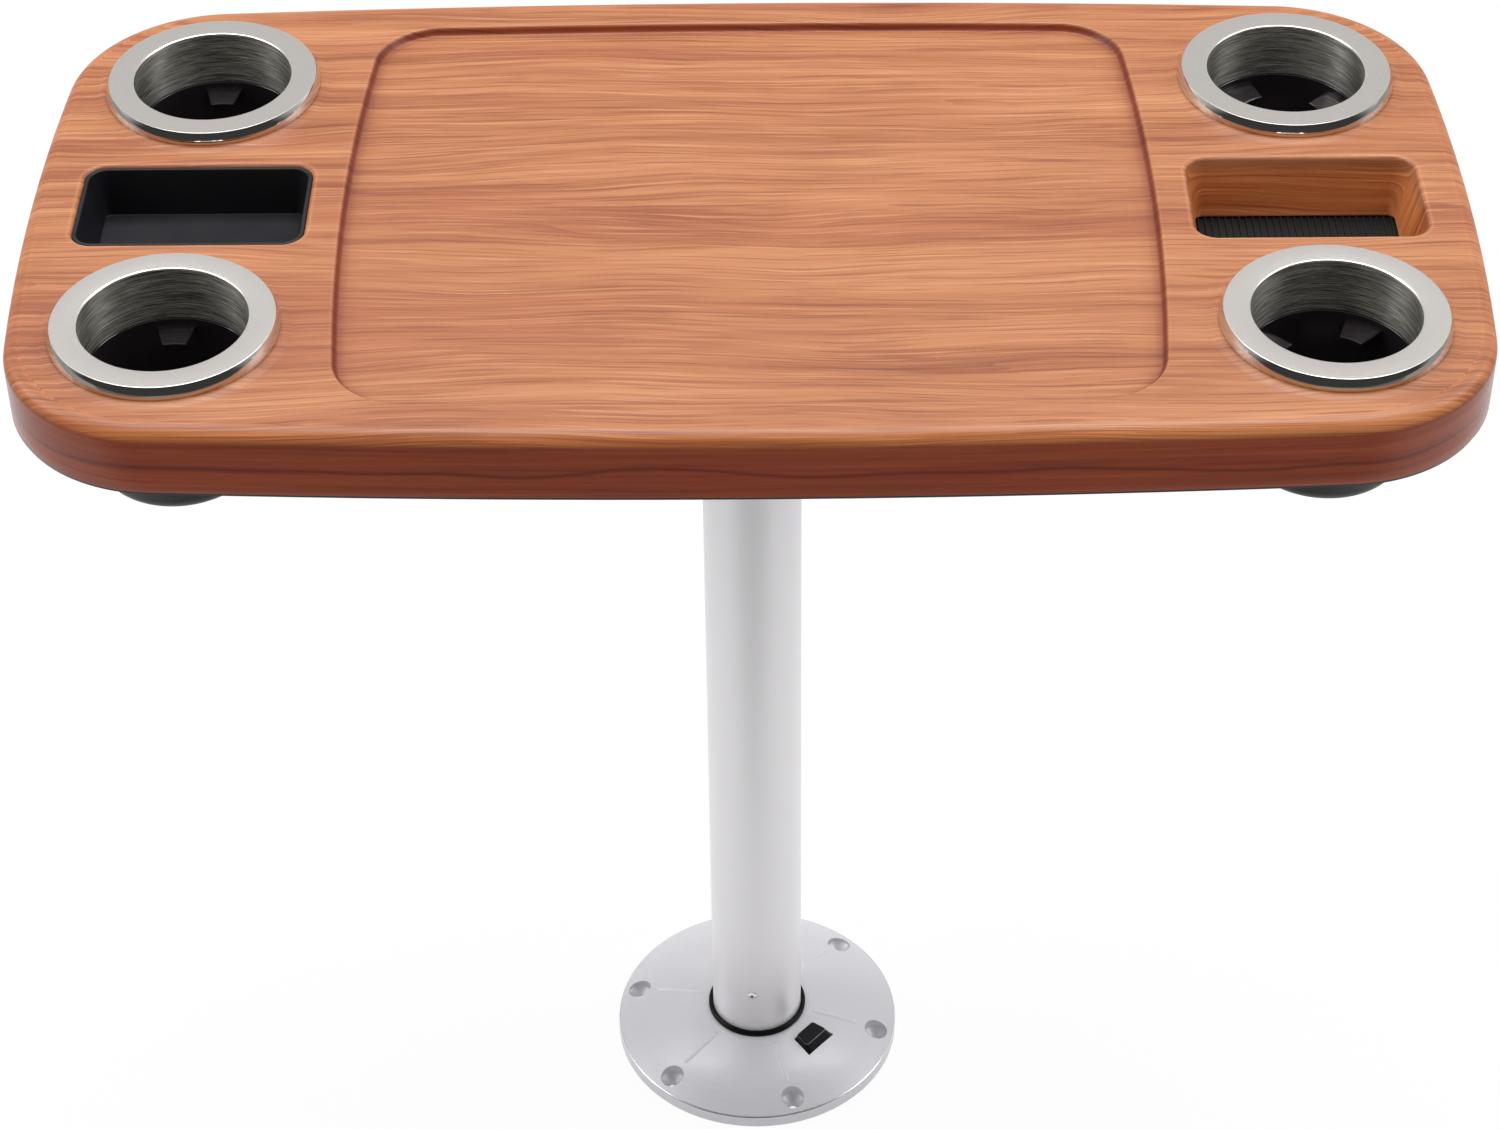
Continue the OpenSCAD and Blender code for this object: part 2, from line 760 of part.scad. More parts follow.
// The shoe bears on the pole and is drawn back by the button's cam
module lock_shoe() {
    slot_out = cam_u + cam_gap;
    slot_in = cam_u - cam_t - cam_gap;
    lean_low = shoe_z - 1 - flange_z;
    lean_high = shoe_z + shoe_t + 1 - flange_z;
    color("darkgray")
        difference() {
            button_box(pole_r - 1, shoe_out_r, shoe_w, shoe_z, shoe_z + shoe_t);
            rod(pole_r + slip, shoe_z - 1, shoe_z + shoe_t + 1);
            across_button([[slot_in + lean_low, shoe_z - 1], [slot_out + lean_low, shoe_z - 1],
                [slot_out + lean_high, shoe_z + shoe_t + 1], [slot_in + lean_high, shoe_z + shoe_t + 1]],
                cam_w + 2 * slip);
            button_box(spring_u - spring_r - button_travel - 0.5, spring_u + spring_r + 0.5, 2 * spring_r + 1,
                shoe_z - 1, shoe_z + shoe_t + 1);
        }
}

// The spring under the button: a wire swept along a helix
module button_spring() {
    turns = 5;
    per_turn = 12;
    sides = 6;
    wire_r = 0.35;
    coil_r = spring_r - wire_r;
    z0 = keeper_top_z + wire_r + 0.05;
    z1 = flange_z - wire_r - 0.05;
    n = turns * per_turn;
    points = [for (i = [0 : n], k = [0 : sides - 1])
        let (a = 360 * i / per_turn, r = coil_r + wire_r * cos(360 * k / sides))
        [r * cos(a), r * sin(a), z0 + (z1 - z0) * i / n + wire_r * sin(360 * k / sides)]];
    walls = [for (i = [0 : n - 1], k = [0 : sides - 1])
        [i * sides + k, (i + 1) * sides + k, (i + 1) * sides + (k + 1) % sides, i * sides + (k + 1) % sides]];
    color("lightgray")
        rotate([0, 0, button_dir])
            translate([spring_u, 0, 0])
                polyhedron(
                    points = points,
                    faces = concat([[for (k = [0 : sides - 1]) k]], walls,
                        [[for (k = [sides - 1 : -1 : 0]) n * sides + k]]));
}

module at_keeper_screws() {
    for (s = [-1, 1])
        translate([keeper_out_r - 5, s * 9, 0])
            children();
}

// The plate closes the release from below and carries its spring
module keeper_plate() {
    color("lightslategray")
        difference() {
            button_box(hub_r + 1, keeper_out_r, keeper_w, keeper_z, keeper_top_z);
            rotate([0, 0, button_dir])
                at_keeper_screws()
                    csk_hole(keeper_head_r, keeper_screw_r + 0.15, keeper_z, keeper_top_z + 1);
        }
}

module keeper_screws() {
    color("silver")
        rotate([0, 0, button_dir])
            at_keeper_screws()
                csk_screw(keeper_head_r, keeper_screw_r, keeper_z, 8);
}

// A hole for a countersunk screw whose head is at z0
module csk_hole(head_r, hole_r, z0, z1) {
    rotate_extrude()
        polygon([[0, z0 - 1], [head_r + 1.1, z0 - 1], [hole_r, z0 + head_r - hole_r + 0.1], [hole_r, z1],
            [0, z1]]);
}

// A countersunk screw with its head at z0 and its point at z1
module csk_screw(head_r, shank_r, z0, z1) {
    difference() {
        rotate_extrude()
            polygon([[0, z0], [head_r, z0], [shank_r, z0 + head_r - shank_r], [shank_r, z1 - 1.5], [0, z1]]);
        drive_cross(head_r * 1.3, z0, 0.9);
    }
}

// A cross recess cut upwards into a screw's head
module drive_cross(l, z, d) {
    for (a = [0, 90])
        rotate([0, 0, a])
            translate([-l / 2, -0.45, z - 1])
                cube([l, 0.9, d + 1]);
}

top_shell();
bottom_pan();
pan_screws();
core_board();
at_corner(-1, -1) cup_ring();  // cup_ring_front_left
at_corner(1, -1) cup_ring();  // cup_ring_front_right
at_corner(-1, 1) cup_ring();  // cup_ring_back_left
at_corner(1, 1) cup_ring();  // cup_ring_back_right
at_corner(-1, -1) cup_well();  // cup_well_front_left
at_corner(1, -1) cup_well();  // cup_well_front_right
at_corner(-1, 1) cup_well();  // cup_well_back_left
at_corner(1, 1) cup_well();  // cup_well_back_right
storage_bin();
translate([-well_x, 0, 0]) well_floor();  // well_floor_left
translate([well_x, 0, 0]) well_floor();  // well_floor_right
table_bracket();
bracket_bush();
bracket_screws();
bracket_set_screws();
pole_tube();
pole_top_plug();
foot_sleeve();
sleeve_rivets();
foot_cap();
swivel_collar();
floor_base();
release_button();
lock_shoe();
button_spring();
keeper_plate();
keeper_screws();
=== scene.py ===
"""Looks of the single pole camper table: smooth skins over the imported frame, materials, light and camera.

Lengths in the code are millimetres, in the frame's axes, and become metres when a mesh is made.
"""

import math

import bpy
from mathutils import Matrix, Vector
from mathutils.geometry import delaunay_2d_cdt


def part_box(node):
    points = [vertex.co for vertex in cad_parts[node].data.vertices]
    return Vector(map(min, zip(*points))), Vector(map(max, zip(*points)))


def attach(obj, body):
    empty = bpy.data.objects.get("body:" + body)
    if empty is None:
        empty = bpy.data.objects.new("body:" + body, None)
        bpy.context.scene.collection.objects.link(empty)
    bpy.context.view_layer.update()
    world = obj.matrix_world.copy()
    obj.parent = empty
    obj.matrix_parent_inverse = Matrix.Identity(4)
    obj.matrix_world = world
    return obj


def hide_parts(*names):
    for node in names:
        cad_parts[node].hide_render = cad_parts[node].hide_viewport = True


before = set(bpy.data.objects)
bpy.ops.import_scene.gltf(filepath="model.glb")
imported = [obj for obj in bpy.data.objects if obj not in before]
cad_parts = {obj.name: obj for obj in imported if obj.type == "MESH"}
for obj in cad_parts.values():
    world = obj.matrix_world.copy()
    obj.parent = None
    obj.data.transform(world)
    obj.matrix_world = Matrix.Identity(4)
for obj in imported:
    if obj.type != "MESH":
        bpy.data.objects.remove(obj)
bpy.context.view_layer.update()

MM = 0.001


def box_mm(node):
    """Lowest and highest corner of a node of the frame, in millimetres."""
    low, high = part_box(node)
    return low / MM, high / MM


# Sizes read from the frame
shell_low, shell_high = box_mm("top_shell")
pan_low, _ = box_mm("bottom_pan")
ring_low, ring_high = box_mm("cup_ring_back_right")
cup_low, _ = box_mm("cup_well_back_right")
bin_low, bin_high = box_mm("storage_bin")
floor_low, floor_high = box_mm("well_floor_right")
board_low, board_high = box_mm("core_board")
_, bracket_high = box_mm("table_bracket")
pole_low, pole_high = box_mm("pole_tube")
collar_low, collar_high = box_mm("swivel_collar")
_, base_high = box_mm("floor_base")
button_low, _ = box_mm("release_button")

top_l = shell_high.x - shell_low.x
top_w = shell_high.y - shell_low.y
rim_z = shell_low.z
seat_z = shell_high.z
ring_z = ring_high.z
sleeve_z = ring_low.z
ring_r = (ring_high.x - ring_low.x) / 2
cup_x = (ring_high.x + ring_low.x) / 2
cup_y = (ring_high.y + ring_low.y) / 2
well_x = (floor_high.x + floor_low.x) / 2
pole_r = pole_high.x
base_r = base_high.x
dome_z = base_high.z

# Sizes of the top that the boxes don't give
seat_h = 1.0
top_z = seat_z - seat_h
short_side_r = 1640.0
long_side_r = 6450.0
corner_r = 90.0
edge_r = 9.0
under_slope = (edge_r - 3.5) * 0.6
sheet_t = 3.5
tray_l = 463.0
tray_w = 378.0
tray_corner_r = 40.0
tray_d = 4.5
tray_z = top_z - tray_d
board_top_z = tray_z - sheet_t
guard = 1.0

# Cup holders
ring_in_r = 46.3
ring_t = 1.0
cup_t = 2.5
cup_out_r = ring_in_r + ring_t + 0.3 + cup_t
cup_hole_r = cup_out_r + 0.3
cup_low_r = ring_in_r - 0.8
tab_z = 657.0

# Compartments
well_l = 132.4
well_w = 79.0
well_corner_r = 13.0
well_d = 35.5
well_draft = math.tan(math.radians(13))
bin_t = 2.6
bin_floor_z = bin_low.z + bin_t
rib_pitch = 4.0
rib_w = 1.6

# Pan
pan_inset = 1.0
plateau_l = board_high.x - board_low.x + 20
plateau_w = board_high.y - board_low.y + 10
plateau_r = 24.0
plateau_t = 2.5

# Base
rivet_dir = -96
edge_z = 9.3
base_edge_r = 1.2
dome_in_r = 36.0
dome_out_r = base_r - base_edge_r
screw_phase = 46.5
screw_count = 6
button_dir = -41.5
button_in_r = 42.2
button_out_r = 57.8
button_in_w = 18.6
button_out_w = 24.6
button_proud = 3.8

ROUND = 192


class Skin:
    """Points, film coordinates and faces of one mesh, put together loop by loop."""

    def __init__(self):
        self.points = []
        self.film = []
        self.stretch_and_painted_light = []
        self.faces = []
        self.slots = []

    def loop(self, points, film=None, stretch_and_painted_light=0.0):
        """Adds a ring of points and returns their numbers. The film coordinates are where a flat film would be,
        and the last value is how much paler (up to 1) or darker (down to -1) the film is painted there: stretched film
        in part, painted highlight and painted shade in part."""
        first = len(self.points)
        self.points.extend(points)
        self.film.extend(film if film else [(x, y, 0.0) for x, y, _ in points])
        self.stretch_and_painted_light.extend([stretch_and_painted_light] * len(points))
        return list(range(first, first + len(points)))

    def strip(self, a, b, slot=0):
        """Quads between two rings of equal length."""
        n = len(a)
        for i in range(n):
            j = (i + 1) % n
            self.faces.append((a[i], a[j], b[j], b[i]))
            self.slots.append(slot)

    def fill(self, outer, holes=(), slot=0, up=True, inner=()):
        """Triangles between an outer ring, holes and loose inner points, seen from above or from below."""
        rings = [outer, *holes]
        numbers = [k for ring in rings for k in ring] + list(inner)
        flat = [Vector(self.points[k][:2]) for k in numbers]
        edges, start = [], 0
        for ring in rings:
            n = len(ring)
            edges.extend((start + i, start + (i + 1) % n) for i in range(n))
            start += n
        _, _, triangles, origin, _, _ = delaunay_2d_cdt(flat, edges, [], 0, 1e-5)
        outlines = [[self.points[k][:2] for k in ring] for ring in rings]
        for triangle in triangles:
            corners = [numbers[origin[v][0]] for v in triangle]
            middle = [sum(self.points[k][axis] for k in corners) / 3 for axis in (0, 1)]
            if not inside(middle, outlines[0]) or any(inside(middle, hole) for hole in outlines[1:]):
                continue
            a, b, c = (self.points[k] for k in corners)
            turns_up = (b[0] - a[0]) * (c[1] - a[1]) - (b[1] - a[1]) * (c[0] - a[0]) > 0
            self.faces.append(tuple(corners if turns_up == up else reversed(corners)))
            self.slots.append(slot)

    def fan(self, ring, tip, slot=0):
        """Triangles from a ring to one point."""
        n = len(ring)
        for i in range(n):
            self.faces.append((ring[i], ring[(i + 1) % n], tip))
            self.slots.append(slot)

    def piece(self, name, body, slot, materials, replaces=(), sharp=35):
        """Makes the Blender object, which rides on a body and takes the place of CAD nodes."""
        mesh = bpy.data.meshes.new(name)
        mesh.from_pydata([Vector(p) * MM for p in self.points], [], self.faces)
        film = mesh.attributes.new("film", "FLOAT_VECTOR", "POINT")
        film.data.foreach_set("vector", [c * MM for p in self.film for c in p])
        mesh.attributes.new("stretch_and_painted_light", "FLOAT", "POINT").data.foreach_set("value", self.stretch_and_painted_light)
        for material in materials:
            mesh.materials.append(material)
        mesh.polygons.foreach_set("material_index", self.slots)
        mesh.polygons.foreach_set("use_smooth", [True] * len(self.faces))
        mesh.set_sharp_from_angle(angle=math.radians(sharp))
        mesh.validate()
        mesh.update()
        obj = bpy.data.objects.new(name, mesh)
        bpy.context.scene.collection.objects.link(obj)
        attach(obj, body)
        if replaces:
            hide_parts(*replaces)
        return obj


def inside(point, outline):
    """Whether a point lies inside a closed outline."""
    x, y = point
    hit = False
    for i, (x1, y1) in enumerate(outline):
        x0, y0 = outline[i - 1]
        if (y0 > y) != (y1 > y) and x < (x1 - x0) * (y - y0) / (y1 - y0) + x0:
            hit = not hit
    return hit


def arc(cx, cy, r, a0, a1, n):
    """Points of an arc, angles in degrees."""
    angles = [math.radians(a0 + (a1 - a0) * i / n) for i in range(n + 1)]
    return [(cx + r * math.cos(a), cy + r * math.sin(a)) for a in angles]


def four_quarters(q):
    """A closed outline from its first quarter, which runs from the X axis to the Y axis."""
    return (
        q
        + [(-x, y) for x, y in reversed(q[:-1])]
        + [(-x, -y) for x, y in q[1:]]
        + [(x, -y) for x, y in reversed(q[1:-1])]
    )


def bowed_outline(length, width, r, d, corner_steps=26):
    """Rounded rectangle with bowed sides, moved in by d."""
    a, b = length / 2 - d, width / 2 - d
    ra, rb, rc = short_side_r - d, long_side_r - d, r - d
    gap = Vector((-(a - ra), b - rb))
    span = gap.length
    along = (span**2 + (ra - rc) ** 2 - (rb - rc) ** 2) / (2 * span)
    across = math.sqrt((ra - rc) ** 2 - along**2)
    way = gap / span
    centre = Vector((a - ra, 0)) + way * along + Vector((-way.y, way.x)) * across
    t1 = math.degrees(math.atan2(centre.y, centre.x - (a - ra)))
    t2 = math.degrees(math.atan2(centre.y - (b - rb), centre.x))
    return four_quarters(
        arc(a - ra, 0, ra, 0, t1, 8)
        + arc(centre.x, centre.y, rc, t1, t2, corner_steps)[1:]
        + arc(0, b - rb, rb, t2, 90, 12)[1:]
    )


def plain_outline(length, width, r, d, corner_steps=12):
    """Rounded rectangle, moved in by d."""
    corner = arc(length / 2 - r, width / 2 - r, r - d, 0, 90, corner_steps)
    return four_quarters([(length / 2 - d, 0), *corner, (0, width / 2 - d)])


def circle(r, n=ROUND):
    """Points of a full circle."""
    return arc(0, 0, r, 0, 360, n)[:-1]


def at(outline, z, x=0.0, y=0.0):
    """An outline set at a height and a place."""
    return [(px + x, py + y, z) for px, py in outline]


def revolve(profile, slots=None, n=ROUND, closed=True, x=0.0, y=0.0, tip=None):
    """A surface of revolution through (r, z) points. slots gives the material of each stretch."""
    skin = Skin()
    rings = [skin.loop(at(circle(r, n), z, x, y)) for r, z in profile]
    pairs = list(zip(rings, rings[1:] + (rings[:1] if closed else [])))
    for i, (a, b) in enumerate(pairs):
        skin.strip(a, b, slots[i] if slots else 0)
    if tip:
        ends = ((rings[0], tip[0], True), (rings[-1], tip[1], False))
        for ring, z, low in ends:
            number = skin.loop([(x, y, z)])[0]
            skin.fan(list(reversed(ring)) if low else ring, number, slots[0] if low and slots else 0)
    return skin


def srgb(r, g, b, a=1.0):
    """A colour written as it shows on screen, from 0 to 255, as the shader wants it."""
    def linear(c):
        c /= 255
        return c / 12.92 if c <= 0.04045 else ((c + 0.055) / 1.055) ** 2.4

    return (linear(r), linear(g), linear(b), a)


def add_node(tree, kind, inputs=None, **settings):
    """A shader node whose inputs are values or sockets."""
    new = tree.nodes.new(kind)
    for key, value in settings.items():
        setattr(new, key, value)
    for key, value in (inputs or {}).items():
        if isinstance(value, bpy.types.NodeSocket):
            tree.links.new(value, new.inputs[key])
        else:
            new.inputs[key].default_value = value
    return new


def new_material(name, colour, rough, metal=0.0, **sockets):
    """A material with plain values on its shader's sockets."""
    material = bpy.data.materials.new(name)
    material.use_nodes = True
    tree = material.node_tree
    shader = tree.nodes["Principled BSDF"]
    shader.inputs["Base Color"].default_value = colour
    shader.inputs["Roughness"].default_value = rough
    shader.inputs["Metallic"].default_value = metal
    for key, value in sockets.items():
        shader.inputs[key.replace("_", " ")].default_value = value
    return material, tree, shader


def noise(tree, vector, scale, detail=2.0, rough=0.5, distortion=0.0):
    """Noise from 0 to 1 at a scale given per axis, in cells per metre."""
    stretched = add_node(tree, "ShaderNodeVectorMath", {0: vector, 1: scale}, operation="MULTIPLY")
    texture = add_node(tree, "ShaderNodeTexNoise", {
        "Vector": stretched.outputs[0], "Scale": 1.0, "Detail": detail, "Roughness": rough,
        "Distortion": distortion})
    return texture.outputs["Fac"]


def calc(tree, operation, a, b=0.0, clamp=False):
    """One sum of two values or sockets."""
    return add_node(tree, "ShaderNodeMath", {0: a, 1: b}, operation=operation, use_clamp=clamp).outputs[0]


def span(tree, value, low, high, to_low=0.0, to_high=1.0):
    """A value's range mapped onto another one, with soft ends."""
    return add_node(tree, "ShaderNodeMapRange", {
        "Value": value, "From Min": low, "From Max": high, "To Min": to_low, "To Max": to_high},
        interpolation_type="SMOOTHSTEP").outputs["Result"]


def mix(tree, factor, a, b, blend="MIX"):
    """Two colours mixed."""
    return add_node(tree, "ShaderNodeMix", {0: factor, 6: a, 7: b}, data_type="RGBA", blend_type=blend).outputs[2]


def ramp(tree, value, stops):
    """Colours along a value."""
    node = add_node(tree, "ShaderNodeValToRGB", {"Fac": value})
    elements = node.color_ramp.elements
    while len(elements) < len(stops):
        elements.new(0.5)
    for element, (place, colour) in zip(elements, stops):
        element.position = place
        element.color = colour
    return node.outputs["Color"]


def bump(tree, shader, height, distance, strength=1.0):
    """A bump of a real depth in metres on a shader."""
    node = add_node(tree, "ShaderNodeBump", {"Height": height, "Distance": distance, "Strength": strength})
    tree.links.new(node.outputs["Normal"], shader.inputs["Normal"])


def object_place(tree):
    """Coordinates in metres that stay with the object."""
    return add_node(tree, "ShaderNodeTexCoord").outputs["Object"]


def total(tree, *parts):
    """Weighted sum of values."""
    result = 0.0
    for value, weight in parts:
        step = add_node(tree, "ShaderNodeMath", {0: value, 1: weight, 2: result}, operation="MULTIPLY_ADD")
        result = step.outputs[0]
    return result


def wood_film():
    """Wood-grain film: long wavy streaks and growth lines along X and pores, with painted light and shade: a yellow
    painted highlight down the rounded top edge, a redder rim darkened as painted shade, compartment walls lightened as
    painted light, and pale and dark film marks that are partly stretch and partly painted highlight and shade.
    """
    material, tree, shader = new_material("wood_film", srgb(161, 103, 70), 0.42, Specular_IOR_Level=0.42)
    film = add_node(tree, "ShaderNodeAttribute", attribute_name="film").outputs["Vector"]
    stretch_and_painted_light = add_node(tree, "ShaderNodeAttribute", attribute_name="stretch_and_painted_light").outputs["Fac"]
    place = add_node(tree, "ShaderNodeSeparateXYZ", {0: film})
    down = place.outputs["Z"]
    wave = noise(tree, film, (2.2, 7.0, 0.0), 2.0)
    ripple = noise(tree, film, (8.0, 30.0, 0.0), 2.0)
    lift = total(tree, (wave, 0.055), (ripple, 0.007), (place.outputs["Y"], 1.0))
    grain = add_node(tree, "ShaderNodeCombineXYZ", {"X": place.outputs["X"], "Y": lift}).outputs[0]
    band = noise(tree, grain, (1.2, 22.0, 1.0), 2.0)
    streak = noise(tree, grain, (3.0, 105.0, 1.0), 4.0, 0.6)
    line = noise(tree, grain, (7.0, 480.0, 1.0), 3.0, 0.65)
    hair = noise(tree, grain, (30.0, 1700.0, 1.0), 2.0, 0.6)
    tone = total(tree, (band, 0.28), (streak, 0.27), (line, 0.31), (hair, 0.14))
    colour = ramp(tree, tone, [
        (0.39, srgb(112, 58, 29)), (0.445, srgb(139, 82, 48)), (0.50, srgb(156, 98, 61)),
        (0.55, srgb(163, 107, 70)), (0.61, srgb(174, 120, 80))])
    red = span(tree, total(tree, (band, 0.6), (noise(tree, grain, (1.0, 15.0, 3.0), 1.0), 0.4)), 0.50, 0.38)
    colour = mix(tree, calc(tree, "MULTIPLY", red, 0.35), colour, srgb(144, 77, 53))

    rings = calc(tree, "FRACT", calc(tree, "MULTIPLY", noise(tree, grain, (1.1, 21.0, 7.0), 2.5, 0.5), 15.0))
    ring = calc(tree, "POWER", calc(tree, "SUBTRACT", 1.0, rings), 3.5)
    shown = span(tree, noise(tree, film, (3.2, 26.0, 5.0), 2.0), 0.46, 0.64, 0.08, 0.7)
    broken = span(tree, line, 0.36, 0.6, 0.35, 1.0)
    ring = calc(tree, "MULTIPLY", calc(tree, "MULTIPLY", ring, shown), broken)
    colour = mix(tree, ring, colour, (0.60, 0.40, 0.27, 1), "MULTIPLY")

    crest = noise(tree, grain, (1.4, 36.0, 7.0), 2.0, 0.45)
    away = calc(tree, "ABSOLUTE", calc(tree, "SUBTRACT", crest, 0.5))
    ridge = calc(tree, "POWER", calc(tree, "SUBTRACT", 1.0, calc(tree, "MULTIPLY", away, 30.0), clamp=True), 2.0)
    dark = span(tree, noise(tree, film, (2.0, 14.0, 5.0), 1.0), 0.47, 0.60)
    colour = mix(tree, calc(tree, "MULTIPLY", calc(tree, "MULTIPLY", ridge, dark), 0.5), colour, srgb(112, 50, 22))
    thin = noise(tree, grain, (9.0, 620.0, 11.0), 2.0, 0.5)
    colour = mix(tree, span(tree, thin, 0.44, 0.35, 0.0, 0.6), colour, srgb(112, 54, 28))
    colour = mix(tree, span(tree, thin, 0.58, 0.68, 0.0, 0.5), colour, srgb(184, 133, 95))
    pore = noise(tree, grain, (60.0, 1300.0, 2.0), 1.0)
    colour = mix(tree, span(tree, pore, 0.69, 0.78, 0.0, 0.5), colour, srgb(112, 62, 40))

    # Painted highlight: a yellower band down the rounded top edge, where it turns towards the light.
    painted_edge_highlight = calc(tree, "MULTIPLY", span(tree, down, 0.001, 0.006), span(tree, down, 0.010, 0.0135, 1.0, 0.0))
    colour = mix(tree, painted_edge_highlight, colour, (1.28, 1.12, 0.84, 1), "MULTIPLY")
    # The rim's side: its own grain running along it, in a redder tone darkened as painted shade for the side turned
    # away from the light.
    round_rim = object_place(tree)
    rim_streak = noise(tree, round_rim, (4.0, 4.0, 150.0), 3.0, 0.6)
    rim_line = noise(tree, round_rim, (9.0, 9.0, 620.0), 3.0, 0.6)
    rim_tone = total(tree, (rim_streak, 0.6), (rim_line, 0.4))
    rim_grain_and_shade = ramp(tree, rim_tone, [
        (0.36, srgb(118, 40, 8)), (0.50, srgb(134, 52, 13)), (0.64, srgb(146, 64, 24))])
    level = add_node(tree, "ShaderNodeSeparateXYZ", {0: round_rim}).outputs["Z"]
    bow = total(tree, (noise(tree, round_rim, (5.0, 5.0, 0.0), 2.0), 0.030), (level, 1.0))
    vein = calc(tree, "ABSOLUTE", calc(tree, "SUBTRACT", bow, 0.6755))
    vein = calc(tree, "POWER", calc(tree, "SUBTRACT", 1.0, calc(tree, "MULTIPLY", vein, 420.0), clamp=True), 1.5)
    rim_grain_and_shade = mix(tree, calc(tree, "MULTIPLY", vein, 0.75), rim_grain_and_shade, srgb(80, 16, 2))
    colour = mix(tree, span(tree, down, 0.0094, 0.0138), colour, rim_grain_and_shade)
    # Painted light: the compartment walls below the mouth made lighter and yellower, as if lit from the sides.
    well = span(tree, down, -0.010, -0.002, 1.0, 0.0)
    colour = mix(tree, well, colour, (1.3, 1.1, 0.8, 1), "MULTIPLY")
    # Above 0 the film is painted paler: stretched film in part, painted highlight on crests and at the foot of the
    # compartment walls in part.
    colour = mix(tree, calc(tree, "MULTIPLY", stretch_and_painted_light, 0.6, clamp=True), colour, srgb(192, 139, 102))
    # Below 0 it is painted darker and redder: gathered film in part, painted shade down the tray's step and just inside
    # it in part.
    gathered_and_painted_shade = calc(tree, "MULTIPLY", stretch_and_painted_light, -1.0, clamp=True)
    colour = mix(tree, gathered_and_painted_shade, colour, (0.46, 0.15, 0.03, 1), "MULTIPLY")
    tree.links.new(colour, shader.inputs["Base Color"])
    rough = calc(tree, "MULTIPLY", span(tree, line, 0.3, 0.7, 0.46, 0.36), span(tree, down, 0.010, 0.014, 1.0, 0.6))
    tree.links.new(rough, shader.inputs["Roughness"])
    bump(tree, shader, total(tree, (line, 1.0), (hair, 0.5), (ring, -0.4)), 0.00008, 0.6)
    return material


def grained_plastic(name, colour, rough, cells=1500.0, depth=0.00008, **sockets):
    """Moulded plastic with a fine leather grain."""
    material, tree, shader = new_material(name, colour, rough, **sockets)
    place = object_place(tree)
    grain = noise(tree, place, (cells, cells, cells), 3.0, 0.6)
    patch = noise(tree, place, (25.0, 25.0, 25.0), 2.0)
    tree.links.new(span(tree, patch, 0.3, 0.7, rough - 0.05, rough + 0.06), shader.inputs["Roughness"])
    bump(tree, shader, grain, depth)
    return material


def satin_metal(name, colour, rough, stretch, depth=0.000012, sweep=0.08, metal=1.0):
    """Metal with fine lines: stretch gives the noise cells per metre along each axis, sweep the range of roughness."""
    material, tree, shader = new_material(name, colour, rough, metal)
    place = object_place(tree)
    lines = noise(tree, place, stretch, 3.0, 0.65)
    tree.links.new(span(tree, lines, 0.25, 0.75, rough - sweep, rough + sweep), shader.inputs["Roughness"])
    if depth:
        bump(tree, shader, lines, depth)
    return material


def brushed_sleeve():
    """The cup ring's sleeve: brushed round its axis, with long dark and light lines in its colour, brushing marks in
    part and painted streaks of reflection in part.
    """
    material, tree, shader = new_material(
        "sleeve_brushed", srgb(190, 189, 180), 0.45, 1.0, Anisotropic=0.85, Anisotropic_Rotation=0.25)
    round_axis = add_node(tree, "ShaderNodeTangent", direction_type="RADIAL", axis="Z")
    tree.links.new(round_axis.outputs["Tangent"], shader.inputs["Tangent"])
    place = object_place(tree)
    fine = noise(tree, place, (70.0, 70.0, 2800.0), 3.0, 0.75)
    long = noise(tree, place, (30.0, 30.0, 1500.0), 4.0, 0.75)
    patch = noise(tree, place, (25.0, 25.0, 60.0), 2.0, 0.6)
    tone = total(tree, (fine, 0.45), (long, 0.45), (patch, 0.1))
    # Lines from dark grey to white: brushing marks, their brightest streaks painted reflection.
    colour = ramp(tree, tone, [
        (0.40, srgb(70, 68, 61)), (0.47, srgb(140, 137, 128)),
        (0.54, srgb(200, 197, 188)), (0.60, srgb(255, 253, 246))])
    tree.links.new(colour, shader.inputs["Base Color"])
    tree.links.new(span(tree, tone, 0.38, 0.62, 0.48, 0.36), shader.inputs["Roughness"])
    bump(tree, shader, tone, 0.00014, 0.9)
    return material


def plywood():
    """Plain plywood of the hidden board."""
    material, tree, shader = new_material("plywood", srgb(205, 175, 135), 0.6)
    place = object_place(tree)
    grain = noise(tree, place, (6.0, 160.0, 400.0), 3.0)
    colour = ramp(tree, grain, [(0.35, srgb(184, 150, 110)), (0.65, srgb(216, 188, 148))])
    tree.links.new(colour, shader.inputs["Base Color"])
    return material


def painted_base():
    """Silver paint on the base casting: fine flakes and a slight orange peel."""
    material, tree, shader = new_material(
        "base_paint", srgb(216, 215, 221), 0.42, 0.22, Coat_Weight=0.3, Coat_Roughness=0.12)
    place = object_place(tree)
    flake = noise(tree, place, (2600.0, 2600.0, 2600.0), 2.0, 0.7)
    peel = noise(tree, place, (380.0, 380.0, 380.0), 2.0)
    colour = ramp(tree, flake, [(0.3, srgb(209, 207, 213)), (0.7, srgb(221, 220, 225))])
    tree.links.new(colour, shader.inputs["Base Color"])
    tree.links.new(span(tree, peel, 0.3, 0.7, 0.32, 0.40), shader.inputs["Roughness"])
    bump(tree, shader, peel, 0.00004)
    return material


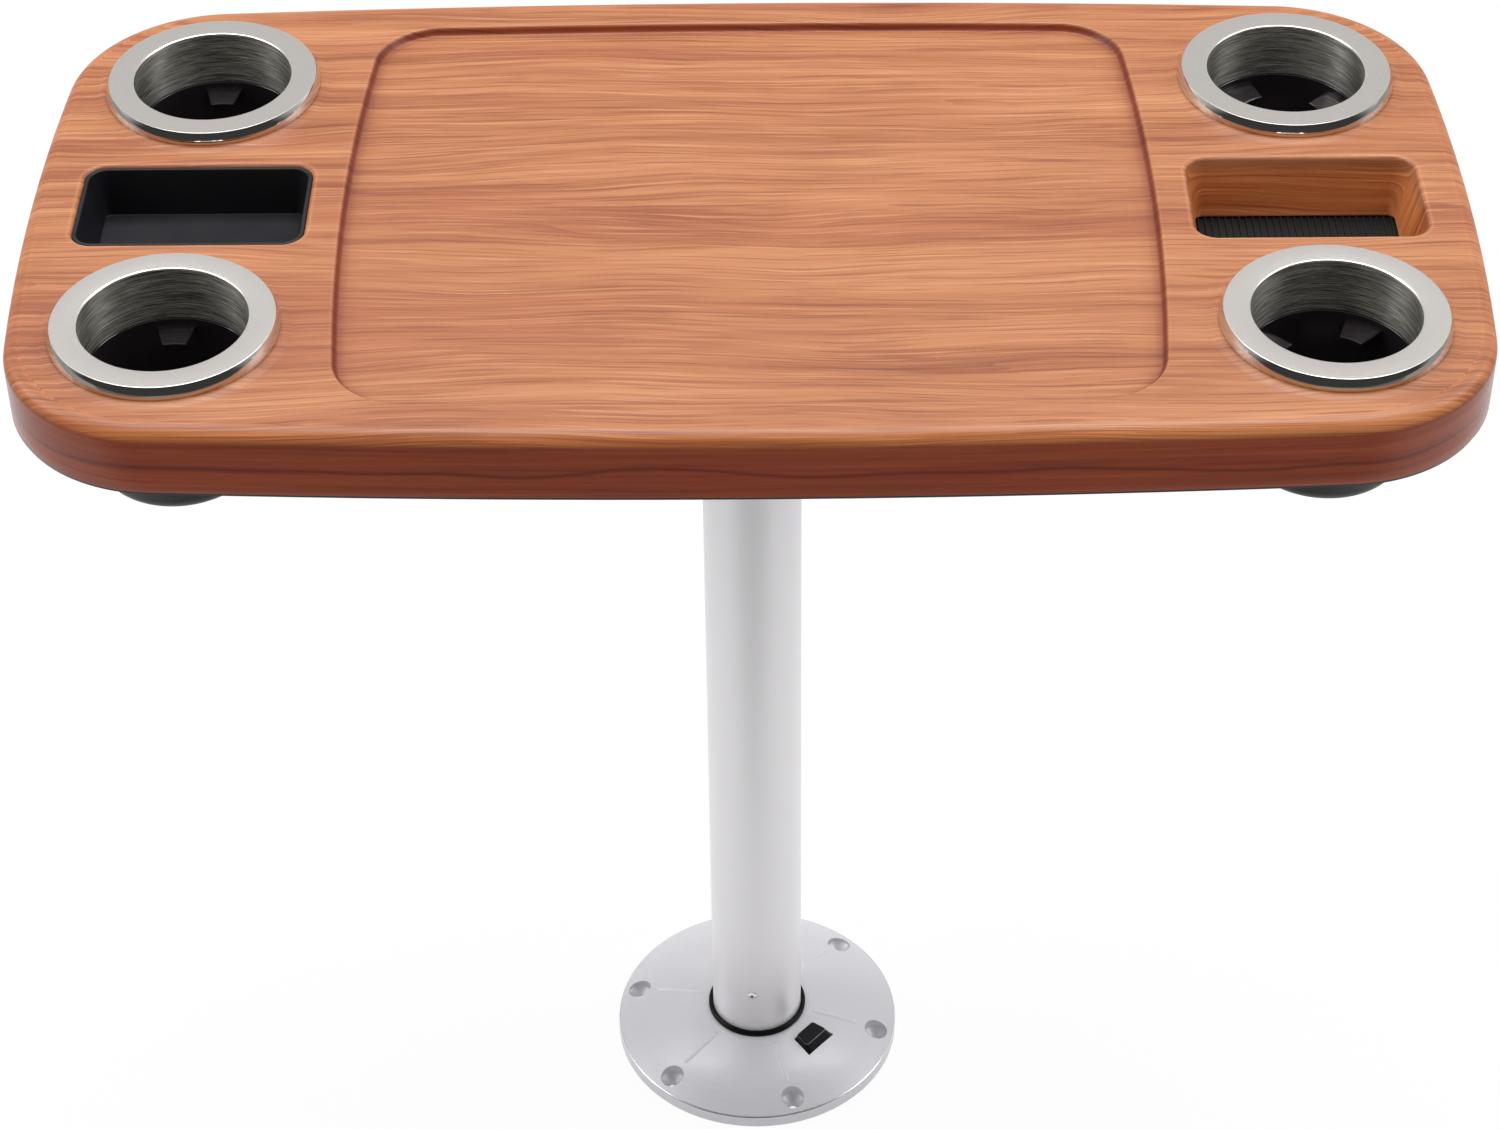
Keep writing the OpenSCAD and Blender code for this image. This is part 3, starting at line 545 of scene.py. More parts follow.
WOOD = wood_film()
SLEEVE = brushed_sleeve()
FLANGE = satin_metal("ring_satin", srgb(222, 217, 212), 0.27, (2600.0, 2600.0, 2600.0), 0.0, 0.006)
POLISHED = satin_metal("ring_polished", srgb(222, 220, 215), 0.07, (900.0, 900.0, 3000.0), 0.000004, 0.02)
CUP_GLOSS = grained_plastic("cup_gloss", srgb(36, 31, 34), 0.16, 1100.0, 0.00003)
CUP_GRAIN = grained_plastic("cup_grained", srgb(34, 34, 37), 0.42, 1400.0, 0.00018)
PAN = grained_plastic("pan_plastic", srgb(34, 34, 37), 0.45, 1300.0, 0.00015)
BIN = grained_plastic("bin_plastic", srgb(17, 15, 19), 0.46, 2200.0, 0.00003, Specular_IOR_Level=0.26)
FLOOR_RIBS = grained_plastic("floor_plastic", srgb(10, 9, 10), 0.6, 1800.0, 0.00004, Specular_IOR_Level=0.25)
BUSH = grained_plastic("bush_plastic", srgb(38, 38, 41), 0.5, 1800.0, 0.00004)
COLLAR = grained_plastic("collar_plastic", srgb(8, 8, 9), 0.34, 2200.0, 0.00002, Specular_IOR_Level=0.16)
BUTTON = grained_plastic("button_plastic", srgb(16, 15, 19), 0.4, 2600.0, 0.00002, Specular_IOR_Level=0.18)
# Painted highlight: a light grey line for the black button's top bevel.
BUTTON_EDGE_HIGHLIGHT = grained_plastic("button_edge_highlight", srgb(150, 147, 154), 0.3, 2600.0, 0.00001)
TUBE = satin_metal("tube_anodised", srgb(236, 234, 236), 0.36, (3000.0, 3000.0, 14.0), 0.000004, 0.04, 0.38)
RIVET = satin_metal("rivet_bright", srgb(240, 239, 238), 0.16, (1500.0, 1500.0, 1500.0), 0.000004, 0.03)
BRACKET = satin_metal("bracket_coat", srgb(70, 70, 74), 0.48, (900.0, 900.0, 900.0), 0.00004, 0.05, 0.6)
SCREW = satin_metal("screw_zinc", srgb(190, 190, 192), 0.32, (1200.0, 1200.0, 1200.0), 0.00001)
RELEASE = satin_metal("release_steel", srgb(170, 170, 174), 0.38, (600.0, 600.0, 2000.0), 0.00001)
BOARD = plywood()
BASE = painted_base()
EDGE = satin_metal("base_edge_metal", srgb(226, 225, 230), 0.24, (1500.0, 1500.0, 1500.0), 0.0, 0.03)


def film_down(outline, run, share=1.0):
    """Film coordinates of a wall below an outline: the run down it goes on outwards in plan, or inwards."""
    n = len(outline)
    film = []
    for i, (x, y) in enumerate(outline):
        x0, y0 = outline[i - 1]
        x1, y1 = outline[(i + 1) % n]
        normal = Vector((y1 - y0, x0 - x1)).normalized() * share * run
        film.append((x + normal.x, y + normal.y, math.copysign(run, share)))
    return film


def s_curve(steps):
    """Shares of a smooth step, along it and down it."""
    for i in range(steps + 1):
        share = i / steps
        yield share, share * share * (3 - 2 * share)


def well_profile():
    """A compartment wall from its rounded mouth down: how far in, and how far down."""
    mouth = 3.0
    last = math.atan(1 / well_draft)
    points = [(-2 + 2.9 * math.sin(a), mouth * (1 - math.cos(a))) for a in (last * i / 10 for i in range(11))]
    step_in, step_down = points[-1]
    points.append((step_in + (well_d - 6 - step_down) * well_draft, well_d - 6))
    points.append((step_in + (well_d - 1.2 - step_down) * well_draft, well_d - 1.2))
    points.append((step_in + (well_d - 0.4 - step_down) * well_draft, well_d - 0.4))
    points.append((step_in + (well_d - step_down) * well_draft - 0.25, well_d))
    return points


def make_top_shell():
    """The moulded wood-grain shell, closed, with its rim, tray, cup seats and compartments."""
    skin = Skin()
    under_z = top_z - sheet_t

    def top_ring(d, z, drop):
        outline = bowed_outline(top_l, top_w, corner_r, d)
        return skin.loop(at(outline, z), film_down(outline, drop))

    rim = [top_ring(sheet_t, rim_z, top_z - rim_z + 3)]
    for d, z in ((0.5, rim_z), (0.15, rim_z + 0.15), (0.0, rim_z + 0.5)):
        rim.append(top_ring(d, z, top_z - z))
    for share in (0.25, 0.5, 0.75):
        z = rim_z + (top_z - edge_r - rim_z) * share
        rim.append(top_ring(0.0, z, top_z - z))
    for i in range(13):
        a = math.radians(7.5 * i)
        rim.append(top_ring(edge_r * (1 - math.cos(a)), top_z - edge_r * (1 - math.sin(a)),
                            edge_r * (math.pi / 2 - a) - edge_r * (1 - math.cos(a)) * 0.4))
    rim.append(top_ring(edge_r + guard, top_z, 0.0))
    for a, b in zip(rim, rim[1:]):
        skin.strip(a, b)

    holes, under_holes = [], []
    for x, y in ((sx * cup_x, sy * cup_y) for sx in (-1, 1) for sy in (-1, 1)):
        seat = [skin.loop(at(circle(ring_r + 8 + guard), top_z, x, y))]
        for along, up in s_curve(10):
            seat.append(skin.loop(at(circle(ring_r + 8 - 5 * along), top_z + seat_h * up, x, y)))
        for r, z in ((ring_r + 3 - guard, seat_z), (cup_hole_r, seat_z), (cup_hole_r, under_z)):
            seat.append(skin.loop(at(circle(r), z, x, y)))
        for a, b in zip(seat, seat[1:]):
            skin.strip(a, b)
        holes.append(seat[0])
        under_holes.append(seat[-1])

    tray = [skin.loop(at(bowed_outline(tray_l, tray_w, tray_corner_r, -0.6 - guard), top_z))]
    # Film marks down the tray's step and onto the tray: a little paler at the crest, darker down the wall, fading out
    # inside; gathered film in part, painted highlight and painted shade of the step in part.
    step = (0.15, 0.15, -0.1, -0.45, -0.8, -1.0, -1.0, -1.0, -0.95, -0.85, -0.7, -0.6, -0.5)
    for (along, down), stretch_and_painted_light in zip(s_curve(12), step):
        tray.append(skin.loop(at(bowed_outline(tray_l, tray_w, tray_corner_r, -0.6 + 4.2 * along),
                                 top_z - tray_d * down), None, stretch_and_painted_light))
    tray.append(skin.loop(at(bowed_outline(tray_l, tray_w, tray_corner_r, 3.6 + guard), tray_z), None, -0.4))
    tray.append(skin.loop(at(bowed_outline(tray_l, tray_w, tray_corner_r, 8.0), tray_z), None, -0.12))
    tray.append(skin.loop(at(bowed_outline(tray_l, tray_w, tray_corner_r, 15.0), tray_z)))
    for a, b in zip(tray, tray[1:]):
        skin.strip(a, b)
    skin.fill(tray[-1])
    holes.append(tray[0])

    for x in (-well_x, well_x):
        def well_ring(d, z, run, stretch_and_painted_light=0.0):
            outline = [(px + x, py) for px, py in plain_outline(well_l, well_w, well_corner_r, d)]
            return skin.loop(at(outline, z), film_down(outline, run, -0.85), stretch_and_painted_light)

        wall = [well_ring(-2 - guard, top_z, 0.0)]
        profile = well_profile()
        for i, (d, down) in enumerate(profile):
            # Film marks down a compartment wall: paler at the mouth's rounding and at the wall's foot, darker down the
            # middle; stretched and gathered film in part, painted highlight and painted shade in part.
            stretch_and_painted_light = 0.3 if i < 3 else -0.2 if 5 < i < 10 else 0.45 if i > 11 else 0.0
            wall.append(well_ring(d, top_z - down, max(down - 1.0, 0.0), stretch_and_painted_light))
        deepest = profile[-1][0]
        wall.append(well_ring(deepest - sheet_t, top_z - well_d, well_d + 3))
        wall.append(well_ring(-2 - sheet_t + 1.4, under_z, well_d + 6))
        for a, b in zip(wall, wall[1:]):
            skin.strip(a, b)
        holes.append(wall[0])
        under_holes.append(wall[-1])
    skin.fill(rim[-1], holes)

    box_top = skin.loop(at(bowed_outline(tray_l, tray_w, tray_corner_r, -sheet_t), under_z))
    box_low = skin.loop(at(bowed_outline(tray_l, tray_w, tray_corner_r, -sheet_t), board_top_z))
    skin.strip(box_top, box_low)
    skin.fill(box_low, up=False)
    under = [skin.loop(at(bowed_outline(top_l, top_w, corner_r, sheet_t + d), z))
             for d, z in ((under_slope, under_z), (0.0, under_z - under_slope))]
    skin.strip(*under)
    skin.strip(under[1], rim[0])
    skin.fill(under[0], [box_top, *under_holes], up=False)
    return skin.piece("shell_skin", "pedestal", "wood_shell", [WOOD], ["top_shell"])


def pan_screw_places():
    """Where the screws go through the pan."""
    inset = 14
    side_x = cup_x - cup_hole_r - 15
    yield from ((s * (top_l / 2 - inset), 0) for s in (-1, 1))
    for x in (90, side_x):
        yield from ((s * x, t * (top_w / 2 - inset - x / 90)) for s in (-1, 1) for t in (-1, 1))


def make_pan():
    """The black pan under the shell, with its cup holes and the pocket round the bracket."""
    skin = Skin()
    edge = 0.4
    ceiling_z = bracket_high.z
    outer = [skin.loop(at(bowed_outline(top_l, top_w, corner_r, pan_inset + d), z)) for d, z in (
        (edge, pan_low.z), (0.12, pan_low.z + 0.12), (0.0, pan_low.z + edge), (0.0, rim_z), (sheet_t, rim_z))]
    for a, b in zip(outer, outer[1:]):
        skin.strip(a, b)
    holes = []
    for x, y in ((sx * cup_x, sy * cup_y) for sx in (-1, 1) for sy in (-1, 1)):
        mouth = skin.loop(at(circle(cup_hole_r), pan_low.z, x, y))
        inner = skin.loop(at(circle(cup_hole_r), rim_z, x, y))
        skin.strip(inner, mouth)
        holes.append((mouth, inner))
    for x, y in pan_screw_places():
        rings = [skin.loop(at(circle(r, 24), z, x, y)) for r, z in (
            (3.6, pan_low.z), (1.9, pan_low.z + 1.7), (1.9, rim_z))]
        for a, b in zip(rings, rings[1:]):
            skin.strip(b, a)
        holes.append((rings[0], rings[-1]))
    pocket = [skin.loop(at(plain_outline(plateau_l, plateau_w, plateau_r, plateau_t + d), z)) for d, z in (
        (-1.0, pan_low.z), (-0.3, pan_low.z + 0.3), (0.0, pan_low.z + 1.0), (0.0, ceiling_z - 1),
        (0.3, ceiling_z - 0.3), (1.0, ceiling_z))]
    for a, b in zip(pocket, pocket[1:]):
        skin.strip(b, a)
    skin.fill(pocket[-1], up=False)
    skin.fill(outer[0], [pocket[0], *(mouth for mouth, _ in holes)], up=False)
    plateau = [skin.loop(at(plain_outline(plateau_l, plateau_w, plateau_r, 0), z))
               for z in (rim_z, ceiling_z + plateau_t)]
    skin.strip(*plateau)
    skin.fill(plateau[-1])
    skin.fill(outer[-1], [plateau[0], *(inner for _, inner in holes)])
    return skin.piece("pan_skin", "pedestal", "pan_black", [PAN], ["bottom_pan"])


def make_ring(name, x, y):
    """A pressed steel ring: brushed sleeve, satin flange, polished skirt."""
    nose = 1.2
    side = ((70, 0.2), (27, 1.3), (23, 1.5), (20, 1.6), (17, 1.3), (10, 0.7))
    foot_r = ring_r + 1.3
    r = foot_r - sum(run * math.sin(math.radians(lean)) for lean, run in side)
    z = ring_z
    profile = [(ring_in_r, sleeve_z)]
    profile += arc(ring_in_r + nose, ring_z - nose, nose, 180, 90, 8)
    profile += [(r - 0.3, z), (r, z)]
    flange_at = len(profile)
    for lean, run in side:
        r += run * math.sin(math.radians(lean))
        z -= run * math.cos(math.radians(lean))
        profile.append((r, z))
    profile += [(foot_r, seat_z + 0.25), (foot_r - 0.25, seat_z), (foot_r - ring_t, seat_z)]
    skirt_at = len(profile)
    profile += [(foot_r - ring_t, z), (foot_r - 3.4, ring_z - ring_t)]
    profile += arc(ring_in_r + nose, ring_z - nose, nose - ring_t, 90, 180, 3)
    profile += [(ring_in_r + ring_t, sleeve_z)]
    slots = [0 if i < 2 else 1 if i < flange_at else 2 if i < skirt_at else 0 for i in range(len(profile))]
    skin = revolve(profile, slots, n=256, x=x, y=y)
    corner = name.removeprefix("cup_ring_")
    return skin.piece(f"ring_{corner}", "pedestal", "ring_steel", [SLEEVE, FLANGE, POLISHED], [name])


def make_cup(name, x, y, turned):
    """A cup well: glossy inside with a step and four flexible tabs, grained outside."""
    base_z = cup_low.z
    bend = 8.0
    low_r = cup_low_r - 2.5
    step_z = sleeve_z - 0.3
    cup_in_r = ring_in_r + ring_t + 0.3
    flange_r = ring_r - ring_t - 1
    outside = [(6.0, base_z)] + arc(low_r + cup_t - bend, base_z + bend, bend, -90, 0, 10)
    outside += [(cup_out_r - 0.4, step_z - 6), (cup_out_r, step_z - 4), (cup_out_r, seat_z),
                (flange_r, seat_z), (flange_r, seat_z + 2.2), (cup_in_r, seat_z + 2.2)]
    within = [(cup_in_r, step_z), (cup_low_r + 0.3, step_z), (cup_low_r, step_z - 0.3), (cup_low_r - 0.3, tab_z - 2)]
    within += arc(low_r - bend + cup_t, base_z + bend, bend - cup_t, 0, -90, 8)
    within += [(6.0, base_z + cup_t)]
    slots = [0] * len(outside) + [1] * len(within)
    skin = revolve(outside + within, slots, closed=False, x=x, y=y, tip=(base_z, base_z + cup_t))
    for quarter in range(4):
        add_tab(skin, x, y, turned + 90 * quarter)
    corner = name.removeprefix("cup_well_")
    return skin.piece(f"cup_{corner}", "pedestal", "cup_black", [CUP_GRAIN, CUP_GLOSS], [name], 40)


def add_tab(skin, x, y, direction):
    """One flexible tab in a cup: a thin plate that narrows towards the middle."""
    half = 14.0
    outer_r, inner_r = cup_low_r + 0.4, 27.0
    thick = 1.6

    def plan(d):
        far = arc(0, 0, outer_r, direction - half + d, direction + half - d, 8)
        near = arc(0, 0, inner_r + d * 0.45, direction + half - d * 1.4, direction - half + d * 1.4, 6)
        return far + near

    levels = ((1.0, tab_z - thick), (0.0, tab_z - thick + 0.4), (0.0, tab_z - 0.4), (1.0, tab_z))
    rings = [skin.loop(at(plan(d), z, x, y)) for d, z in levels]
    for a, b in zip(rings, rings[1:]):
        skin.strip(a, b, 1)
    skin.fill(rings[0], up=False, slot=1)
    skin.fill(rings[-1], slot=1)


def make_bin():
    """The loose storage bin: drafted walls, a rounded lip and a filleted floor."""
    skin = Skin()
    lip_z = bin_high.z
    slip = 0.3

    def wall_in(z):
        return 0.9 + (top_z - z - 3) * well_draft + slip

    fillet = 0.5
    levels = [(wall_in(bin_low.z) + 1.2, bin_low.z), (wall_in(bin_low.z) + 0.3, bin_low.z + 0.4),
              (wall_in(bin_low.z + 1.5), bin_low.z + 1.5)]
    levels += [(wall_in(lip_z) + d, lip_z - s) for d, s in ((0.0, 1.0), (0.1, 0.5), (0.35, 0.15), (0.9, 0.0))]
    levels += [(wall_in(lip_z) + bin_t - d, lip_z - s) for d, s in ((0.9, 0.0), (0.35, 0.15), (0.1, 0.5), (0.0, 1.0))]
    low_in = wall_in(bin_floor_z) + bin_t
    levels += [(low_in - 0.3 + fillet * (1 - math.cos(a)), bin_floor_z + fillet * (1 - math.sin(a)))
               for a in (math.radians(15 * i) for i in range(7))]
    rings = [skin.loop(at(plain_outline(well_l, well_w, well_corner_r, d), z, -well_x)) for d, z in levels]
    for a, b in zip(rings, rings[1:]):
        skin.strip(a, b)
    skin.fill(rings[0], up=False)
    skin.fill(rings[-1])
    return skin.piece("bin_skin", "pedestal", "bin_black", [BIN], ["storage_bin"], 50)


def make_well_floor(name, x):
    """A compartment's floor: a plate with fine rounded ribs across it."""
    skin = Skin()
    low, high = box_mm(name)
    plate_z = high.z - 1.0
    inset = well_l / 2 - (high.x - low.x) / 2
    outline = plain_outline(well_l, well_w, well_corner_r, inset)
    rings = [skin.loop(at(outline, z, x)) for z in (low.z, plate_z)]
    skin.strip(*rings)
    skin.fill(rings[0], up=False)
    skin.fill(rings[1])
    h = high.z - plate_z
    section = [(-0.9, -0.2), (-0.85, h - 0.5), (-0.65, h - 0.15), (-0.35, h), (0.35, h), (0.65, h - 0.15),
               (0.85, h - 0.5), (0.9, -0.2)]
    corner = well_corner_r - inset
    reach = math.floor(well_l / 2 / rib_pitch) * rib_pitch
    for k in range(round(2 * reach / rib_pitch) + 1):
        rib_x = -reach + k * rib_pitch
        over = abs(rib_x) + rib_w / 2 - (well_l / 2 - inset - corner)
        if over >= corner:
            continue
        trim = corner - math.sqrt(corner**2 - over**2) if over > 0 else 0.0
        half = well_w / 2 - inset - trim
        ends = [skin.loop([(x + rib_x + px, y, plate_z + pz) for px, pz in section]) for y in (-half, half)]
        skin.strip(ends[1], ends[0])
        skin.faces += [tuple(ends[0]), tuple(reversed(ends[1]))]
        skin.slots += [0, 0]
    side = name.removeprefix("well_floor_")
    return skin.piece(f"ribbed_floor_{side}", "pedestal", "pan_black", [FLOOR_RIBS], [name], 50)


def make_tube():
    """The anodised tube with slightly rounded ends."""
    wall, edge = 2.0, 0.4
    low, high = pole_low.z, pole_high.z
    profile = [(pole_r - wall, low + edge), (pole_r - wall + edge, low), (pole_r - edge, low), (pole_r, low + edge)]
    profile += [(pole_r, low + (high - low) * i / 8) for i in range(1, 8)]
    profile += [(pole_r, high - edge), (pole_r - edge, high)]
    profile += [(pole_r - wall + edge, high), (pole_r - wall, high - edge)]
    return revolve(profile).piece("tube_skin", "pedestal", "tube_aluminium", [TUBE], ["pole_tube"])


def make_collar():
    """The black collar with a rounded lip."""
    bore, outer = pole_r + 0.05, collar_high.x
    top = collar_high.z
    profile = [(bore, collar_low.z), (outer, collar_low.z)]
    profile += arc(outer - 1.5, top - 1.5, 1.5, 0, 90, 10)
    profile += arc(bore + 0.5, top - 0.5, 0.5, 90, 180, 4)
    return revolve(profile).piece("collar_skin", "collar", "collar_black", [COLLAR], ["swivel_collar"])


def dome(r):
    """Height of the base's dome."""
    return dome_z - (dome_z - edge_z) * (r**3 - dome_in_r**3) / (dome_out_r**3 - dome_in_r**3)


def button_outline(d, steps=6):
    """The button's outline with rounded corners, moved out by d, in the frame's axes."""
    r = 2.3 + d
    corners = [(button_in_r - d, -button_in_w / 2 - d), (button_out_r + d, -button_out_w / 2 - d),
               (button_out_r + d, button_out_w / 2 + d), (button_in_r - d, button_in_w / 2 + d)]
    return turned(rounded_polygon(corners, r, steps), button_dir)


def rounded_polygon(corners, r, steps):
    """A polygon whose corners are arcs of radius r."""
    points = []
    n = len(corners)
    for i, corner in enumerate(corners):
        here = Vector(corner)
        to_last = (Vector(corners[i - 1]) - here).normalized()
        to_next = (Vector(corners[(i + 1) % n]) - here).normalized()
        half = to_last.angle(to_next) / 2
        centre = here + (to_last + to_next).normalized() * (r / math.sin(half))
        first = here + to_last * (r / math.tan(half)) - centre
        last = here + to_next * (r / math.tan(half)) - centre
        a0 = math.degrees(math.atan2(first.y, first.x))
        sweep = (math.degrees(math.atan2(last.y, last.x)) - a0 + 180) % 360 - 180
        points += arc(centre.x, centre.y, r, a0, a0 + sweep, steps)
    return points


def turned(points, degrees):
    """Points turned about the axis."""
    c, s = math.cos(math.radians(degrees)), math.sin(math.radians(degrees))
    return [(x * c - y * s, x * s + y * c) for x, y in points]


def make_button():
    """The release button: a bevelled key with soft edges."""
    skin = Skin()
    slope = (dome(button_out_r) - dome(button_in_r)) / (button_out_r - button_in_r)

    def key(corners, r, h):
        outline = turned(rounded_polygon(corners, r, 6), button_dir)
        return skin.loop([(x, y, dome(button_in_r) + slope * (x * c + y * s - button_in_r) + h) for x, y in outline])

    c, s = math.cos(math.radians(button_dir)), math.sin(math.radians(button_dir))

    def plan(share):
        d_in, d_out, d_side_in, d_side_out = (v * share for v in (1.0, 4.0, 1.2, 2.2))
        near, far = button_in_r + d_in, button_out_r - d_out
        half_near, half_far = button_in_w / 2 - d_side_in, button_out_w / 2 - d_side_out
        return [(near, -half_near), (far, -half_far), (far, half_far), (near, half_near)]

    flange_z = button_low.z + 5
    flange_t = 2.0
    corner = 3.4
    low = skin.loop([(x, y, flange_z + flange_t) for x, y in turned(rounded_polygon(plan(0), corner, 6), button_dir)])
    flange = [skin.loop(at(button_outline(1.6, 2), z)) for z in (flange_z, flange_z + flange_t)]
    skin.strip(*flange)
    skin.fill(flange[0], up=False)
    skin.fill(flange[1])
    cam = ((49, 0), (44, 0), (39, -5), (44, -5))
    ends = [skin.loop([(u * c - v * s, u * s + v * c, flange_z + w) for u, w in cam]) for v in (-4.5, 4.5)]
    skin.strip(*ends)
    skin.faces += [tuple(reversed(ends[0])), tuple(ends[1])]
    skin.slots += [0, 0]
    rings = [low, key(plan(0), corner, 0.0), key(plan(0.02), corner, 0.3), key(plan(0.08), corner - 0.1, 0.6)]
    rings += [key(plan(0.94), 1.9, button_proud - 0.35), key(plan(0.99), 1.8, button_proud - 0.12),
              key(plan(1.04), 1.8, button_proud - 0.02), key(plan(1.09), 1.8, button_proud)]
    for i, (a, b) in enumerate(zip(rings, rings[1:])):
        # The narrow strip round the top bevel takes the light grey painted highlight.
        skin.strip(a, b, 1 if i == 5 else 0)
    skin.fill(rings[0], up=False)
    skin.fill(rings[-1])
    return skin.piece("button_skin", "button", "button_black", [BUTTON, BUTTON_EDGE_HIGHLIGHT], ["release_button"], 60)


def make_base_ribs():
    """Low ribs on the dome from the hub towards each screw."""
    skin = Skin()
    in_r, out_r, half, high = collar_high.x + 5.5, 72.0, 1.9, 0.4
    across = ((-half, -0.1), (-half * 0.72, high * 0.75), (0.0, high), (half * 0.72, high * 0.75), (half, -0.1))
    for k in range(screw_count):
        a = math.radians(screw_phase + 60 * k)
        c, s = math.cos(a), math.sin(a)
        rings = []
        middle = [(in_r + 3 + (out_r - in_r - 7) * i / 6, 1.0) for i in range(7)]
        for u, share in ((in_r, 0.0), (in_r + 1.5, 0.8), *middle, (out_r - 1.5, 0.7), (out_r, 0.0)):
            rings.append(skin.loop([(u * c - v * share * s, u * s + v * share * c,
                                     dome(u) - 0.1 + (h + 0.1) * share) for v, h in across]))
        for p, q in zip(rings, rings[1:]):
            for i in range(len(across) - 1):
                skin.faces.append((p[i], q[i], q[i + 1], p[i + 1]))
                skin.slots.append(0)
    return skin.piece("base_ribs", "base", "base_silver", [BASE], (), 60)


def make_rivet_hole_shades():
    """Dark discs in the centres of the two rivets at the tube's foot: their broken stems, in black as painted shade of
    the rivets' holes.
    """
    low, high = box_mm("sleeve_rivets")
    z = (low.z + high.z) / 2
    reach = pole_r + 0.35
    stem_r = 0.84
    skin = Skin()
    for direction in (rivet_dir, rivet_dir + 180):
        a = math.radians(direction)
        out, across = Vector((math.cos(a), math.sin(a), 0)), Vector((-math.sin(a), math.cos(a), 0))
        rings = [skin.loop([tuple(out * (reach + lift) + Vector((0, 0, z)) + across * u + Vector((0, 0, v)))
                            for u, v in circle(r, 20)]) for r, lift in ((stem_r, -0.7), (stem_r, -0.1), (0.5, 0.0))]
        for p, q in zip(rings, rings[1:]):
            skin.strip(p, q)
        skin.faces += [tuple(reversed(rings[0])), tuple(rings[-1])]
        skin.slots += [0, 0]
    return skin.piece("rivet_hole_shades", "pedestal", "collar_black", [COLLAR], (), 40)


def make_base_edge():
    """A bright metal strip over the base's rounded edge."""
    z = edge_z - base_edge_r
    proud, sunk = 0.03, 0.3
    profile = arc(dome_out_r, z, base_edge_r + proud, 12, 78, 8) + arc(dome_out_r, z, base_edge_r - sunk, 78, 12, 3)
    return revolve(profile, n=256).piece("base_edge", "base", "base_silver", [EDGE], (), 60)


def dress(node, *materials):
    """Gives a node of the frame its material."""
    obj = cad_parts[node]
    obj.data.materials.clear()
    for material in materials:
        obj.data.materials.append(material)
    return obj


def make_object():
    """All the pieces."""
    make_top_shell()
    make_pan()
    for row, sy in (("front", -1), ("back", 1)):
        for side, sx in (("left", -1), ("right", 1)):
            tab_turn = {"left": 92.0, "right": 58.0 if row == "front" else 31.0}[side]
            make_ring(f"cup_ring_{row}_{side}", sx * cup_x, sy * cup_y)
            make_cup(f"cup_well_{row}_{side}", sx * cup_x, sy * cup_y, tab_turn)
    make_bin()
    make_well_floor("well_floor_left", -well_x)
    make_well_floor("well_floor_right", well_x)
    make_tube()
    make_collar()
    dress("core_board", BOARD)
    dress("table_bracket", BRACKET)
    for node in ("bracket_bush", "pole_top_plug", "foot_cap"):
        dress(node, BUSH)
    for node in ("pan_screws", "bracket_screws", "bracket_set_screws", "keeper_screws"):
        dress(node, SCREW)
    dress("foot_sleeve", TUBE)
    dress("sleeve_rivets", RIVET)
    make_rivet_hole_shades()
    for node in ("lock_shoe", "button_spring", "keeper_plate"):
        dress(node, RELEASE)
    dress("floor_base", BASE)
    make_base_ribs()
    make_base_edge()
    make_button()


def make_floor():
    """A pale floor that keeps the shadow and shows white to the camera; in reflections it glows dimmer in front of the
    table and far to the sides, painted light and shade of the floor.
    """
    size = 12.0
    mesh = bpy.data.meshes.new("studio_floor")
    mesh.from_pydata([(-size, -size, 0), (size, -size, 0), (size, size, 0), (-size, size, 0)], [], [(0, 1, 2, 3)])
    material, tree, shader = new_material("studio_floor", (0.86, 0.86, 0.86, 1), 0.9, Specular_IOR_Level=0.1)
    white = add_node(tree, "ShaderNodeEmission", {"Color": (1, 1, 1, 1), "Strength": 1.0})
    path = add_node(tree, "ShaderNodeLightPath")
    seen = path.outputs["Is Camera Ray"]
    share = calc(tree, "ADD", calc(tree, "MULTIPLY", seen, 0.94),
                 calc(tree, "MULTIPLY", path.outputs["Is Glossy Ray"], 0.8), clamp=True)
    # Painted light and shade in the floor's reflection: dim in front of the table, brighter behind and beside it,
    # fading far to the sides.
    spot = add_node(tree, "ShaderNodeSeparateXYZ", {0: object_place(tree)})
    aside = calc(tree, "ABSOLUTE", spot.outputs["X"])
    ahead = total(tree, (aside, 0.55), (spot.outputs["Y"], 1.0))
    floor_reflection_shade = calc(tree, "MULTIPLY", span(tree, ahead, -0.6, -0.1, 0.2, 0.95), span(tree, aside, 1.6, 2.2, 1.0, 0.3))
    tree.links.new(calc(tree, "MAXIMUM", seen, floor_reflection_shade), white.inputs["Strength"])
    blend = add_node(tree, "ShaderNodeMixShader", {0: share, 1: shader.outputs[0], 2: white.outputs[0]})
    tree.links.new(blend.outputs[0], tree.nodes["Material Output"].inputs["Surface"])
    mesh.materials.append(material)
    floor = bpy.data.objects.new("studio_floor", mesh)
    bpy.context.scene.collection.objects.link(floor)


